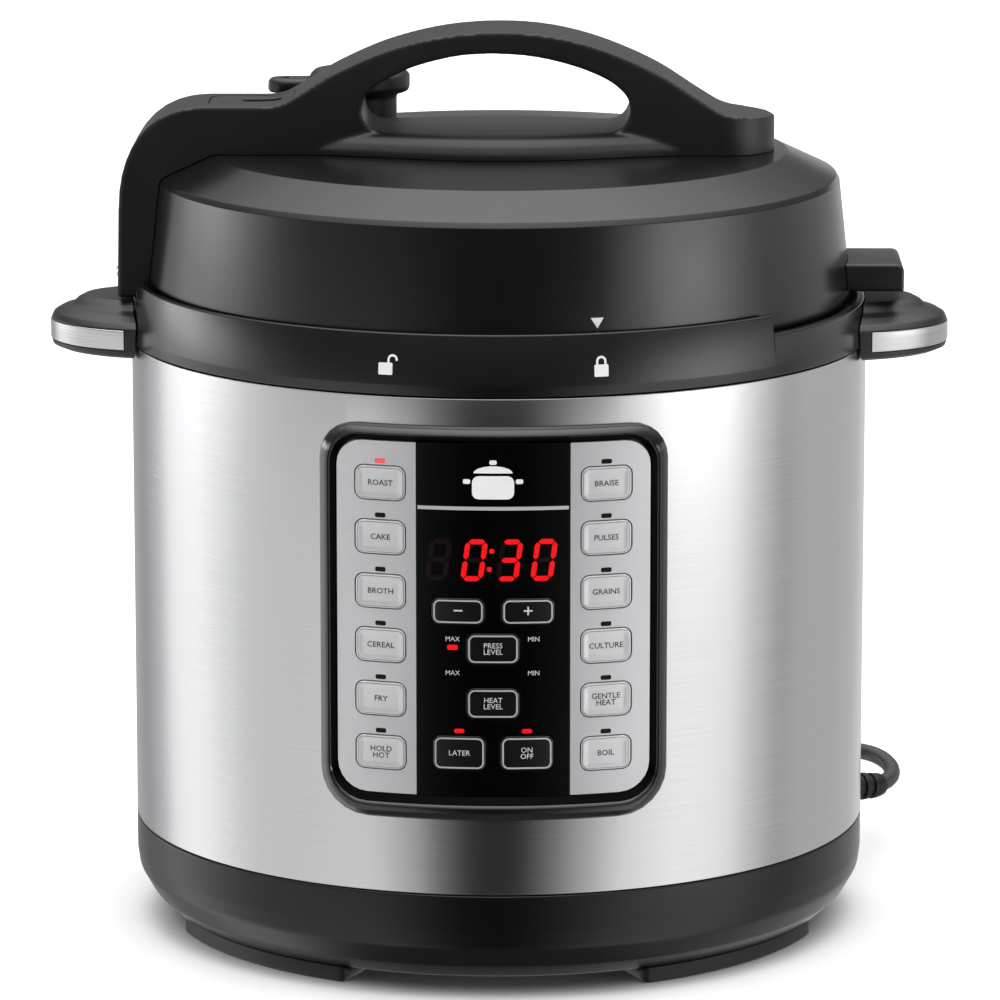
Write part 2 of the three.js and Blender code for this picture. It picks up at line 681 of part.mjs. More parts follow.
// A block rounded at its upright edges, less the round body that it hangs on.
function cupBlock(inset, low, high) {
  const halfWidth = CUP_HALF_WIDTH - inset;
  const depth = 30;
  const plan = roundedOutline(
    -halfWidth, halfWidth, CUP_BACK_Y - depth + inset, CUP_BACK_Y - inset, 6 - inset);
  const bodyR = BODY_R + 2.1 + inset;
  const body = turned(rodProfile(bodyR, low - 1, high + 1), ROUND_PANEL);
  return slab(plan, low, high).subtract(body);
}

function condensationCup() {
  const outside = cupBlock(0, CUP_BOTTOM_Z, CUP_TOP_Z);
  const inside = cupBlock(CUP_WALL, CUP_BOTTOM_Z + CUP_WALL, CUP_TOP_Z + 5);
  return part('condensation_cup', outside.subtract(inside), CLEAR);
}

// ---- mains lead ----

// A profile turned about the lead's exit, with its heights as distances from the body's axis.
function alongCordExit(profile) {
  const geometry = turnedGeometry(profile, ROUND_SMALL).rotateY(Math.PI / 2);
  return solid(geometry.rotateZ(radians(CORD_BEARING - RIGHT)).translate(0, 0, CORD_EXIT_Z));
}

function strainRelief() {
  return part('strain_relief', alongCordExit([
    [0, 126], [8.6, 126], [8.6, 130], [6.3, 130], [6.3, BODY_R + 0.6], [6.9, BODY_R + 1],
    [6.4, BODY_R + 6], [4.5, BODY_R + RELIEF_LENGTH], [0, BODY_R + RELIEF_LENGTH],
  ]), RUBBER);
}

function cordTube(name, route, steps) {
  const sides = 10;
  const section = new THREE.Shape(Array.from({ length: sides }, (_, i) => {
    const angle = (2 * Math.PI * i) / sides;
    return new THREE.Vector2(CORD_R * Math.cos(angle), CORD_R * Math.sin(angle));
  }));
  const path = new THREE.CatmullRomCurve3(route.map((p) => new THREE.Vector3(...p)));
  const options = { steps, extrudePath: path, bevelEnabled: false };
  return part(name, solid(new THREE.ExtrudeGeometry(section, options)), RUBBER);
}

// From the strain relief's tip, round behind the body and down to the coil.
const CORD_ROUTE = [
  [142.1, 75.6, 27.4], [147.9, 79.5, 26.9], [152.4, 86.4, 26.9], [154.9, 94, 27.6],
  [154.8, 102, 28.8], [152.1, 109.6, 30], [147.2, 116.2, 30.8], [140.5, 122.5, 30.4],
  [132.5, 129, 28], [123, 135.6, 23.6], [112.5, 142, 17.8], [101, 148, 11.8],
  [89, 153.2, 7], [77, 157.2, 4.4], [61.5, 159.8, 3.5],
];

// From the top of the coil to the plug.
const TAIL_ROUTE = [[8.5, 160, 9.9], [-5, 160, 10.6], [-18, 160, 12.2], [-30, 160, 13.2]];

function cordCoil() {
  const turns = band(
    COIL_MEAN_R - COIL_HALF_WIDTH, COIL_MEAN_R + COIL_HALF_WIDTH, 0.1, COIL_HEIGHT, ROUND_INSIDE);
  const coil = part('cord_coil', turns, RUBBER);
  coil.position.set(COIL_X, COIL_Y, 0);
  return coil;
}

// A moulded plug lying on its side, with its pins pointing to -X.
function plug() {
  const bodyEnd = 58;
  const relief = turned([[0, 0], [4.3, 0], [6.6, 22], [9.5, 27], [9.5, 30], [0, 30]], ROUND_SMALL);
  const body = slab(roundedOutline(-13, 13, -12, 12, 5), 26, bodyEnd);
  const blades = [-6.35, 6.35].map((y) => box(2.4, 8.7, y - 0.8, y + 0.8, bodyEnd - 1, bodyEnd + 17));
  const earth = rod(2.4, bodyEnd - 1, bodyEnd + 20, -6, 0, ROUND_PIN);
  const mesh = part('plug', joined([relief, body, ...blades, earth]), RUBBER);
  mesh.position.set(PLUG_TIP_X, PLUG_Y, PLUG_Z);
  mesh.rotation.y = -Math.PI / 2;
  return mesh;
}

// ---- the cooker ----

const cooker = new THREE.Group();
cooker.add(
  baseTray(), ...feet(), outerShell(), collar(), ...sideHandles(),
  innerHousing(), lockingRing(), heaterPlate(), thermostatSensor(), powerBoard(), innerPot(),
  controlBezel(), ...keypad(), displayModule(), controlBoard(),
  lidShell(), lidPlate(), sealingRing(), sealRack(), lidHandle(), handleInsert(), legScrew(),
  lidFin(), steamValve(), valvePipe(), valveShield(), floatValve(),
  cupHolder(), condensationCup(),
  strainRelief(), cordTube('power_cord', CORD_ROUTE, 18), cordCoil(),
  cordTube('cord_tail', TAIL_ROUTE, 3), plug(),
);

export default cooker;
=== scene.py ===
"""Looks of the electric pressure cooker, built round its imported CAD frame.

Shapes are drawn in millimetres and shown in metres. +Z is up and the front is -Y. A bearing is an
angle from the front, counter-clockwise seen from above, so +X is at 90 degrees. A panel piece is
drawn flat as X, distance from the body's axis, and Z, and is then bent round the body.
"""

from math import ceil, cos, degrees, pi, radians, sin, sqrt

import bmesh
import bpy
from mathutils import Matrix, Vector


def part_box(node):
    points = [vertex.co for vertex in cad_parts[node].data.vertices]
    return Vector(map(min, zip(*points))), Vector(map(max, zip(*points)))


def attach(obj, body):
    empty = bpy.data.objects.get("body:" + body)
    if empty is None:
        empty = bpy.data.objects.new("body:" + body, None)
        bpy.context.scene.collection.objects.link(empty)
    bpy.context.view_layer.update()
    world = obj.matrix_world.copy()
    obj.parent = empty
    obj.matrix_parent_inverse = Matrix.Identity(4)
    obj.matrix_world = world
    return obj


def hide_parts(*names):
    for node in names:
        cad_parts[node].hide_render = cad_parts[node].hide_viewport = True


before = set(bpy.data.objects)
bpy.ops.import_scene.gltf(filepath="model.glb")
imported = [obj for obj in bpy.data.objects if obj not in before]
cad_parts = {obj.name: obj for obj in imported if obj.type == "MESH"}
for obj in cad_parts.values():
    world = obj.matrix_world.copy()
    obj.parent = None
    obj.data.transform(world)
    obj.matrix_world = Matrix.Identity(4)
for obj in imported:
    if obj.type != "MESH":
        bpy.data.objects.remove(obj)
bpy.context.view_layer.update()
MM = 0.001


def corners(*nodes):
    """The box round some CAD nodes, in millimetres."""
    boxes = [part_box(node) for node in nodes]
    low = Vector(min(box[0][axis] for box in boxes) for axis in range(3))
    high = Vector(max(box[1][axis] for box in boxes) for axis in range(3))
    return low / MM, high / MM


# ---- driving dimensions ----

TRAY_LOW, TRAY_HIGH = corners("base_tray")
SHELL_LOW, SHELL_HIGH = corners("outer_shell")
COLLAR_LOW, COLLAR_HIGH = corners("collar")
LID_LOW, LID_HIGH = corners("lid_shell")
HANDLE_LOW, HANDLE_HIGH = corners("lid_handle")
POT_LOW, POT_HIGH = corners("inner_pot")
HOUSING_LOW, HOUSING_HIGH = corners("inner_housing")
PLATE_LOW, PLATE_HIGH = corners("lid_plate")
BEZEL_LOW, BEZEL_HIGH = corners("control_bezel")
OVERLAY_LOW, OVERLAY_HIGH = corners("keypad_left", "keypad_right", "display_window")
BODY_R = SHELL_HIGH.x
BEZEL_R = -BEZEL_LOW.y
OVERLAY_R = -corners("display_window")[0].y
KEY_R = -corners("key_pressure")[0].y
LID_R = LID_HIGH.x
BAR_HALF_WIDTH = corners("lid_fin")[1].y
ROUND = 192
ROUND_SMALL = 64
BEND_STEP = 2.5
PRINT = 0.04

# ---- shapes ----

QUARTER = [radians(90 * step / 4) for step in range(5)]


def rounded(points, closed=False, steps=5):
    """A path of (a, b) or (a, b, radius) points, with an arc at each point that has a radius."""
    path = []
    for i, (a, b, *radius) in enumerate(points):
        here = Vector((a, b))
        if not radius or not (closed or 0 < i < len(points) - 1):
            path.append(here)
            continue
        before = (Vector(points[i - 1][:2]) - here).normalized()
        after = (Vector(points[(i + 1) % len(points)][:2]) - here).normalized()
        half = before.angle(after) / 2
        centre = here + (before + after).normalized() * (radius[0] / sin(half))
        reach = radius[0] * cos(half) / sin(half)
        start, end = here + before * reach - centre, here + after * reach - centre
        path += [centre + start.slerp(end, step / steps) * radius[0] for step in range(steps + 1)]
    return path


def rectangle(x0, x1, y0, y1, *radii, steps=6):
    """A rectangle's outline for any margin round it. Its radii run from the corner x0, y0."""
    radii = radii * 4 if len(radii) == 1 else radii
    places = ((x0, y0, 1, 1, 180), (x1, y0, -1, 1, 270), (x1, y1, -1, -1, 0), (x0, y1, 1, -1, 90))

    def outline(margin=0.0):
        points = []
        for (x, y, inward_x, inward_y, start), radius in zip(places, radii):
            arc = max(radius + margin, 0.01)
            centre = Vector((x + inward_x * (arc - margin), y + inward_y * (arc - margin)))
            for step in range(steps + 1):
                angle = radians(start + 90 * step / steps)
                points.append(centre + Vector((cos(angle), sin(angle))) * arc)
        return points

    return outline


def spline(points, steps):
    """A smooth path through points, in two or three dimensions."""
    points = [Vector(point) for point in points]
    path = []
    for i in range(len(points) - 1):
        a, b, c, d = (points[min(max(i + k, 0), len(points) - 1)] for k in (-1, 0, 1, 2))
        for step in range(steps):
            t = step / steps
            turn = (c - a) * t + (2 * a - 5 * b + 4 * c - d) * t**2 + (3 * b - a - 3 * c + d) * t**3
            path.append(b + turn / 2)
    return path + [points[-1]]


def bezier(start, first, second, end):
    """Ten points of a cubic curve, without its start."""
    a, b, c, d = (Vector(point) for point in (start, first, second, end))
    shares = [step / 10 for step in range(1, 11)]
    return [
        a * (1 - t) ** 3 + b * 3 * t * (1 - t) ** 2 + c * 3 * t**2 * (1 - t) + d * t**3 for t in shares
    ]


def soft_edges(low, high, low_round, high_round):
    """(margin, height) levels of a wall whose lower and upper edges are rounded."""
    lower = [(low_round * (sin(t) - 1), low + low_round * (1 - cos(t))) for t in QUARTER]
    upper = [(high_round * (cos(t) - 1), high - high_round * (1 - sin(t))) for t in QUARTER]
    return lower + upper


def on_circle(radius, bearing, height):
    return (radius * sin(radians(bearing)), -radius * cos(radians(bearing)), height)


# ---- meshes, as bmesh, in millimetres ----


def cleaned(mesh):
    bmesh.ops.remove_doubles(mesh, verts=mesh.verts, dist=1e-4)
    bmesh.ops.recalc_face_normals(mesh, faces=mesh.faces)
    return mesh


def band(mesh, near, far):
    """The faces between two rows of vertices that go round."""
    for i in range(len(near)):
        j = (i + 1) % len(near)
        mesh.faces.new((near[i], near[j], far[j], far[i]))


def loft(rings, loop=False, caps=True):
    """A skin over rings of equally many points, closed by caps or on itself."""
    mesh = bmesh.new()
    rows = [[mesh.verts.new(point) for point in ring] for ring in rings]
    for low, high in zip(rows, rows[1:] + (rows[:1] if loop else [])):
        band(mesh, low, high)
    if caps and not loop:
        mesh.faces.new(rows[0][::-1])
        mesh.faces.new(rows[-1])
    return cleaned(mesh)


def turned(profile, closed=False, segments=ROUND, flatten=None):
    """A (radius, height) profile turned about Z; flatten gives the Y scale at a height."""
    rings = []
    for radius, height in rounded(profile, closed):
        squeeze = flatten(height) if flatten else 1
        turns = [2 * pi * step / segments for step in range(segments)]
        rings.append([(radius * cos(t), radius * sin(t) * squeeze, height) for t in turns])
    return loft(rings, loop=closed, caps=False)


def cylinder(radius, low, high, segments=ROUND):
    return turned([(0, low), (radius, low), (radius, high), (0, high)], segments=segments)


def stack(outline, levels):
    """A solid whose plan at each (margin, height) level is outline(margin)."""
    return loft([[(x, y, height) for x, y in outline(margin)] for margin, height in levels])


def upright(outline, levels):
    """The same with the outline in X and Z, and the levels along Y."""
    return loft([[(x, level, z) for x, z in outline(margin)] for margin, level in levels])


def prism(points, y0, y1):
    """An outline in X and Z, drawn out along Y."""
    return loft([[(x, y, z) for x, z in points] for y in (y0, y1)])


def arc_block(section, start, end, end_round):
    """section(margin), in radius and height, from one bearing to another, its ends rounded."""
    middle = sum(point.x for point in section(0)) / len(section(0))
    ends = [(degrees(end_round * (1 - sin(t)) / middle), end_round * (cos(t) - 1)) for t in QUARTER]
    first = [(start + along, margin) for along, margin in reversed(ends)]
    last = [(end - along, margin) for along, margin in ends]
    count = ceil((end - start) / 3)
    middles = [(start + (end - start) * i / count, 0) for i in range(1, count)]
    return loft([
        [on_circle(r, bearing, z) for r, z in section(margin)]
        for bearing, margin in first + middles + last
    ])


def plate(outer, holes, low, high, edge=0.0):
    """A sheet in X and Z with holes, between two distances, its front edges rounded."""
    mesh = bmesh.new()
    ends = ([], [])
    turns = QUARTER[::2] if edge else [0]
    for outline, outward in [(outer, edge)] + [(hole, -edge) for hole in holes]:
        levels = [(0, low)] + [(outward * (cos(t) - 1), high - edge * (1 - sin(t))) for t in turns]
        rows = [[mesh.verts.new((x, depth, z)) for x, z in outline(m)] for m, depth in levels]
        for near, far in zip(rows, rows[1:]):
            band(mesh, near, far)
        for loops, row in zip(ends, (rows[0], rows[-1])):
            loops += [mesh.edges.get((row[i - 1], row[i])) for i in range(len(row))]
    for loops in ends:
        bmesh.ops.triangle_fill(mesh, use_beauty=True, use_dissolve=False, edges=loops)
    bmesh.ops.recalc_face_normals(mesh, faces=mesh.faces)
    return mesh


def in_scene(name, data):
    item = bpy.data.objects.new(name, data)
    bpy.context.scene.collection.objects.link(item)
    return item


def as_data(mesh, name="shape"):
    """The mesh as Blender's own data; the mesh is freed."""
    data = bpy.data.meshes.new(name)
    mesh.to_mesh(data)
    mesh.free()
    return data


def lettering(words, x, z, height, low, high, bold=0.0):
    """Words as a thin sheet in X and Z, centred on a point."""
    curve = bpy.data.curves.new("words", "FONT")
    curve.body = words
    curve.align_x = "CENTER"
    curve.align_y = "CENTER"
    curve.size = height / 0.7
    curve.space_line = 0.85
    curve.resolution_u = 2
    curve.offset = bold
    curve.extrude = (high - low) / 2
    mesh = evaluated(in_scene("words", curve))
    for vertex in mesh.verts:
        along, up, out = vertex.co
        vertex.co = (x + along, (low + high) / 2 + out, z + up)
    return mesh


def evaluated(item):
    """The mesh of an object after its modifiers; the object is removed."""
    graph = bpy.context.evaluated_depsgraph_get()
    data = bpy.data.meshes.new_from_object(item.evaluated_get(graph))
    mesh = bmesh.new()
    mesh.from_mesh(data)
    bpy.data.meshes.remove(data)
    bpy.data.objects.remove(item)
    return cleaned(mesh)


def combine(mesh, tools, operation="DIFFERENCE"):
    """Cuts tools out of a mesh, or joins them to it."""
    item = in_scene("shape", as_data(mesh))
    helpers = [in_scene("shape", as_data(tool)) for tool in tools]
    for helper in helpers:
        modifier = item.modifiers.new("boolean", "BOOLEAN")
        modifier.operation = operation
        modifier.solver = "MANIFOLD"
        modifier.object = helper
    result = evaluated(item)
    for helper in helpers:
        bpy.data.objects.remove(helper)
    return result


def softened(mesh, voxel, smoothing):
    """The mesh rebuilt of even small faces, with its edges rounded."""
    item = in_scene("shape", as_data(mesh))
    remesh = item.modifiers.new("remesh", "REMESH")
    remesh.mode = "VOXEL"
    remesh.voxel_size = voxel
    smooth = item.modifiers.new("smooth", "SMOOTH")
    smooth.factor = 0.5
    smooth.iterations = smoothing
    return evaluated(item)


def merged(*meshes):
    """Several meshes as one, their shapes kept apart."""
    total = bmesh.new()
    for mesh in meshes:
        data = as_data(mesh)
        total.from_mesh(data)
        bpy.data.meshes.remove(data)
    return total


def moved(mesh, x, y=0.0):
    bmesh.ops.translate(mesh, vec=(x, y, 0), verts=mesh.verts)
    return mesh


def remapped(mesh, place):
    """Every vertex moved to place(x, y, z)."""
    for vertex in mesh.verts:
        vertex.co = place(*vertex.co)
    bmesh.ops.recalc_face_normals(mesh, faces=mesh.faces)
    return mesh


def sliced(mesh, step=BEND_STEP):
    """The mesh with its faces split at even X steps, so that it can bend."""
    start = min(vertex.co.x for vertex in mesh.verts)
    end = max(vertex.co.x for vertex in mesh.verts)
    for i in range(ceil(start / step), ceil(end / step)):
        parts = mesh.verts[:] + mesh.edges[:] + mesh.faces[:]
        bmesh.ops.bisect_plane(
            mesh, geom=parts, dist=1e-5, plane_co=(i * step, 0, 0), plane_no=(1, 0, 0))
    return mesh


def bent(mesh, side=-1):
    """A flat panel piece bent round the body: -1 is the front and 1 the back."""
    return remapped(sliced(mesh), lambda x, r, z: (x, side * sqrt(r * r - x * x), z))


def wrapped(mesh, bearing, radius_at):
    """A flat print laid on a turned surface, whose radius depends on the height."""
    def place(x, out, z):
        radius = radius_at(z) + out
        return on_circle(radius, bearing + degrees(x / radius), z)
    return remapped(sliced(mesh, 1.0), place)


def show(name, mesh, material, body, slot, *nodes, smooth=32):
    """Makes a mesh a shown piece, in metres, on its body."""
    bmesh.ops.scale(mesh, vec=(MM, MM, MM), verts=mesh.verts)
    for face in mesh.faces:
        face.smooth = True
    for edge in mesh.edges:
        edge.smooth = len(edge.link_faces) == 2 and edge.calc_face_angle(0) < radians(smooth)
    data = as_data(mesh, name)
    data.materials.append(material)
    piece = in_scene(name, data)
    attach(piece, body)
    if nodes:
        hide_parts(*nodes)
    return piece


# ---- materials ----


def connect(tree, shader, inputs):
    """Sets a shader node's inputs, which are values, or nodes or sockets to link."""
    for key, value in inputs.items():
        if isinstance(value, bpy.types.Node):
            value = value.outputs[0]
        if isinstance(value, bpy.types.NodeSocket):
            tree.links.new(value, shader.inputs[key])
        else:
            shader.inputs[key].default_value = value


def node(tree, kind, inputs, **settings):
    made = tree.nodes.new("ShaderNode" + kind)
    for key, value in settings.items():
        setattr(made, key, value)
    connect(tree, made, inputs)
    return made


def blank(name, **fixed):
    """A material, its tree, its shader with some inputs set, and the place on the piece."""
    material = bpy.data.materials.new(name)
    material.use_nodes = True
    tree = material.node_tree
    surface = tree.nodes["Principled BSDF"]
    connect(tree, surface, {key.replace("_", " "): value for key, value in fixed.items()})
    return material, tree, surface, node(tree, "TexCoord", {}).outputs["Object"]


def noise(tree, place, scale, detail=2.0, stretch=(1, 1, 1)):
    stretched = node(tree, "Mapping", {"Vector": place, "Scale": stretch})
    return node(tree, "TexNoise", {"Vector": stretched, "Scale": scale, "Detail": detail})


def between(tree, value, low, high):
    """A noise value spread over a range."""
    inputs = {"Value": value, "From Min": 0.3, "From Max": 0.7, "To Min": low, "To Max": high}
    return node(tree, "MapRange", inputs)


def shades(tree, value, dark, light, tint):
    """A noise value as a colour between two levels of a tint."""
    ramp = node(tree, "ValToRGB", {"Fac": value})
    for element, position, level in zip(ramp.color_ramp.elements, (0.3, 0.7), (dark, light)):
        element.position = position
        element.color = (*(level * channel for channel in tint), 1)
    return ramp


def bearing_of(tree, parts):
    """The bearing, in radians, of a place given by its coordinates."""
    front = node(tree, "Math", {0: parts["Y"], 1: -1.0}, operation="MULTIPLY")
    return node(tree, "Math", {0: parts["X"], 1: front}, operation="ARCTAN2")


def finish(tree, surface, colour, roughness, height, strength, distance=0.0001):
    bump = node(tree, "Bump", {"Height": height, "Strength": strength, "Distance": distance})
    connect(tree, surface, {"Base Color": colour, "Roughness": roughness, "Normal": bump})


NEUTRAL = (1, 1, 1)
COOL = (1, 1, 1.03)


def moulded(name, dark, light, roughness, grain=1400.0, relief=0.1, tint=NEUTRAL, **fixed):
    """A moulded or coated finish: fine grain, with slow changes in its colour and gloss."""
    material, tree, surface, place = blank(name, **fixed)
    slow = noise(tree, place, 18.0, 3.0)
    finish(tree, surface, shades(tree, slow, dark, light, tint), between(tree, slow, *roughness),
           noise(tree, place, grain), relief, 0.0002)
    return material


def brushed(name, dark, light, roughness, around=True, tint=NEUTRAL, **fixed):
    """Metal with fine brush lines, round the body's axis or along X."""
    material, tree, surface, place = blank(name, Metallic=1.0, **fixed)
    parts = node(tree, "SeparateXYZ", {"Vector": place}).outputs
    if around:
        lines = {"X": bearing_of(tree, parts), "Y": parts["Z"]}
        tangent = node(tree, "Tangent", {}, direction_type="RADIAL", axis="Z")
        connect(tree, surface, {"Tangent": tangent})
    else:
        lines = {"X": parts["X"], "Y": parts["Z"], "Z": parts["Y"]}
    streaks = noise(tree, node(tree, "CombineXYZ", lines), 1.0, 5.0, (3.0, 2600.0, 900.0))
    both = node(tree, "Math", {0: streaks, 1: noise(tree, place, 14.0, 3.0)}, operation="ADD")
    mean = node(tree, "Math", {0: both, 1: 0.5}, operation="MULTIPLY")
    finish(tree, surface, shades(tree, streaks, dark, light, tint), between(tree, mean, *roughness),
           streaks, 0.016)
    return material


def silver_paint(name, dark, light, tint):
    """Silver film: small metal flakes under a satin coat."""
    material, tree, surface, place = blank(name, Metallic=0.65, Coat_Weight=0.25, Coat_Roughness=0.3)
    flakes = node(tree, "TexVoronoi", {"Vector": place, "Scale": 2200.0}).outputs["Color"]
    colour = shades(tree, noise(tree, place, 12.0, 3.0), dark, light, tint)
    finish(tree, surface, colour, between(tree, flakes, 0.34, 0.46), flakes, 0.04)
    return material


def glowing(name, colour, strength):
    """A lit diode behind its lens, a little uneven."""
    material, tree, surface, place = blank(
        name, Roughness=0.4, Specular_IOR_Level=0.2, Emission_Strength=strength)
    connect(tree, surface, {
        "Emission Color": shades(tree, noise(tree, place, 900.0), 0.75, 1.0, colour),
        "Base Color": shades(tree, noise(tree, place, 700.0), 0.02, 0.03, (1, 0.1, 0.1)),
    })
    return material


def clear_plastic(name, tint):
    material, tree, surface, place = blank(name, Transmission_Weight=0.85, IOR=1.49)
    slow = noise(tree, place, 30.0)
    finish(tree, surface, shades(tree, slow, 0.85, 1.0, tint), between(tree, slow, 0.08, 0.16),
           noise(tree, place, 500.0), 0.03)
    return material


def solder_mask(name):
    """A green board with lighter tracks under its mask."""
    material, tree, surface, place = blank(name, Coat_Weight=0.3, Coat_Roughness=0.2)
    inputs = {"Vector": place, "Scale": 260.0, "Mortar Size": 0.12}
    tracks = node(tree, "TexBrick", inputs, offset=0.37).outputs["Fac"]
    finish(tree, surface, shades(tree, tracks, 0.1, 0.2, (0.13, 1, 0.37)),
           between(tree, noise(tree, place, 200.0), 0.3, 0.45), tracks, 0.1)
    return material


BLACK = moulded("black_plastic", 0.0015, 0.0025, (0.2, 0.26), 2200.0, 0.08, IOR=1.58)
TRAY_BLACK = moulded("tray_plastic", 0.0015, 0.0025, (0.24, 0.3), 2000.0, IOR=1.44)
HANDLE_BLACK = moulded("handle_plastic", 0.0015, 0.0025, (0.38, 0.46), 1500.0, 0.3, COOL, IOR=1.6)
RUBBER = moulded("soft_rubber", 0.003, 0.005, (0.46, 0.58), 1200.0, 0.3, COOL, IOR=1.42)
JACKET = moulded("cord_jacket", 0.03, 0.042, (0.4, 0.5), 1600.0, 0.12, (1, 1, 1.07))
GLOSS = moulded("gloss_black", 0.004, 0.006, (0.09, 0.15), 900.0, 0.015, (1, 1, 1.1),
                Coat_Weight=0.4, Coat_Roughness=0.06)
# The display window's own black; on the bezel's lip the same material is painted shade.
WINDOW_AND_LIP_SHADE = moulded("window_black_and_lip_shade", 0.0008, 0.0012, (0.1, 0.16), 900.0, 0.015, (1, 1, 1.1), IOR=1.25)
STEEL = brushed("brushed_steel", 0.595, 0.635, (0.2, 0.28), True, (1, 1.004, 1.017),
                Anisotropic=0.5, Anisotropic_Rotation=0.25)
TRIM = brushed("trim_steel", 0.55, 0.66, (0.2, 0.28), Anisotropic=0.4)
PRESSED = brushed("pressed_steel", 0.6, 0.68, (0.18, 0.28), Anisotropic=0.3)
PLAIN_METAL = brushed("plain_steel", 0.6, 0.7, (0.22, 0.34), False)
ALUMINIUM = moulded("spun_aluminium", 0.58, 0.68, (0.36, 0.5), 900.0, 0.12, (1, 1.008, 1.016),
                    Metallic=1.0)
PIN_METAL = moulded("pin_metal", 0.5, 0.62, (0.22, 0.32), 700.0, 0.05, (1, 0.94, 0.8), Metallic=1.0)
FILM = silver_paint("silver_film", 0.55, 0.61, COOL)
KEY_SILVER = silver_paint("silver_key", 0.62, 0.69, (1, 1, 1.023))
KEY_BLACK = moulded("black_key", 0.004, 0.006, (0.16, 0.24), 900.0, 0.02, (1, 1, 1.1),
                    Coat_Weight=0.3, Coat_Roughness=0.1)
GREY_INK = moulded("grey_ink", 0.16, 0.2, (0.4, 0.5), tint=COOL)
DARK_INK = moulded("dark_ink", 0.02, 0.03, (0.5, 0.6), tint=(1, 1, 1.08))
WHITE_INK = moulded("white_ink", 0.62, 0.74, (0.4, 0.5))
PRINT_INK = moulded("print_ink", 0.46, 0.56, (0.4, 0.5))
PALE_INK = moulded("pale_ink", 0.3, 0.4, (0.4, 0.5), tint=COOL)
SLOT_BLACK = moulded("slot_black", 0.003, 0.005, (0.3, 0.4), Specular_IOR_Level=0.15)
RED_LIGHT = glowing("red_light", (1.0, 0.003, 0.006), 1.05)
PINK_LIGHT = glowing("pink_light", (1.0, 0.1, 0.11), 1.1)
DARK_SEGMENT = moulded("dark_segment", 0.006, 0.008, (0.2, 0.3), tint=(1, 0.4, 0.4), IOR=1.28)
SILICONE = moulded("silicone", 0.66, 0.74, (0.4, 0.5), 900.0, 0.08, (1, 0.985, 0.942),
                   Subsurface_Weight=0.25)
RED = moulded("red_plastic", 0.36, 0.46, (0.35, 0.45), 1200.0, tint=(1, 0.06, 0.042))
SMOKE = clear_plastic("smoke_plastic", (0.62, 0.65, 0.67))
BOARD = solder_mask("solder_mask")
COMPONENT = moulded("component", 0.02, 0.035, (0.4, 0.6), 900.0, 0.2, (1, 1, 1.12))

# ---- camera ----


def aimed(item, place, target):
    """Puts a camera or a light in its place, turned to a target."""
    item.location = place
    item.rotation_mode = "QUATERNION"
    item.rotation_quaternion = (target - item.location).to_track_quat("-Z", "Y")


def camera():
    """The camera stands in front, a little to the right, and looks down at the cooker."""
    distance, bearing, height = 2.234, 0.85, 0.608
    data = bpy.data.cameras.new("camera")
    data.lens = 216.6
    data.sensor_width = 36
    data.clip_end = 200
    item = in_scene("camera", data)
    aimed(item, on_circle(distance, bearing, height), Vector((0.0004, 0, 0.1575)))
    bpy.context.scene.camera = item


camera()

# ---- mains lead ----

CORD_R = 3.25
CORD_BEARING = 118
CORD_EXIT_Z = 27.5
STRAIGHT_END = BODY_R + 18
RELIEF_TIP = BODY_R + 32
COIL_LOW, COIL_HIGH = corners("cord_coil")
COIL_CENTRE = (COIL_LOW + COIL_HIGH) / 2
LAYER_LOW_Z = COIL_LOW.z + CORD_R
LAYER_HIGH_Z = COIL_HIGH.z - CORD_R - 0.05
COIL_OUTER_R = (COIL_HIGH.x - COIL_LOW.x) / 2 - CORD_R - 0.25
COIL_INNER_R = COIL_OUTER_R - 9.8
LAYER_TURNS = 1.5

# From the strain relief's tip, round behind the body and down to the coil.
CORD_ROUTE = [
    (142.1, 75.6, 27.4), (147.9, 79.5, 26.9), (152.4, 86.4, 26.9), (154.9, 94, 27.6),
    (154.8, 102, 28.8), (152.1, 109.6, 30), (147.2, 116.2, 30.8), (140.5, 122.5, 30.4),
    (132.5, 129, 28), (123, 135.6, 23.6), (112.5, 142, 17.8), (101, 148, 11.8),
    (89, 153.2, 7), (77, 157.2, 4.4), (61.5, 159.8, 3.5),
]

# From the top of the coil to the plug.
TAIL_ROUTE = [(8.5, 160, 9.9), (-5, 160, 10.6), (-18, 160, 12.2), (-30, 160, 13.2)]


def coil_points():
    """Two layers of turns: inward on the floor, and then outward on top of those."""
    points = []
    steps = int(2 * LAYER_TURNS * 40)
    climb = 0.16
    for step in range(steps + 1):
        turns = 2 * LAYER_TURNS * step / steps
        angle = radians(-90 - 360 * turns)
        share = abs(turns - LAYER_TURNS) / LAYER_TURNS
        radius = COIL_INNER_R + (COIL_OUTER_R - COIL_INNER_R) * share
        rise = min(max((turns - LAYER_TURNS) / climb + 0.5, 0), 1)
        height = LAYER_LOW_Z + (LAYER_HIGH_Z - LAYER_LOW_Z) * rise * rise * (3 - 2 * rise)
        x, y = COIL_CENTRE.x + radius * cos(angle), COIL_CENTRE.y + radius * sin(angle)
        points.append((x, y, height))
    return points


def way_in():
    """The lead from where it starts to bend, in its relief, to the start of the coil."""
    start = on_circle(STRAIGHT_END, CORD_BEARING, CORD_EXIT_Z)
    return spline([start, *CORD_ROUTE, coil_points()[0]], 6)


def on_lead(distance):
    """The lead's centre and direction at a distance, counted from the body's axis."""
    if distance <= STRAIGHT_END:
        centre = Vector(on_circle(distance, CORD_BEARING, CORD_EXIT_Z))
        return centre, Vector(on_circle(1, CORD_BEARING, 0))
    left = distance - STRAIGHT_END
    path = way_in()
    for a, b in zip(path, path[1:]):
        step = b - a
        if left <= step.length:
            break
        left -= step.length
    return a + step.normalized() * left, step.normalized()


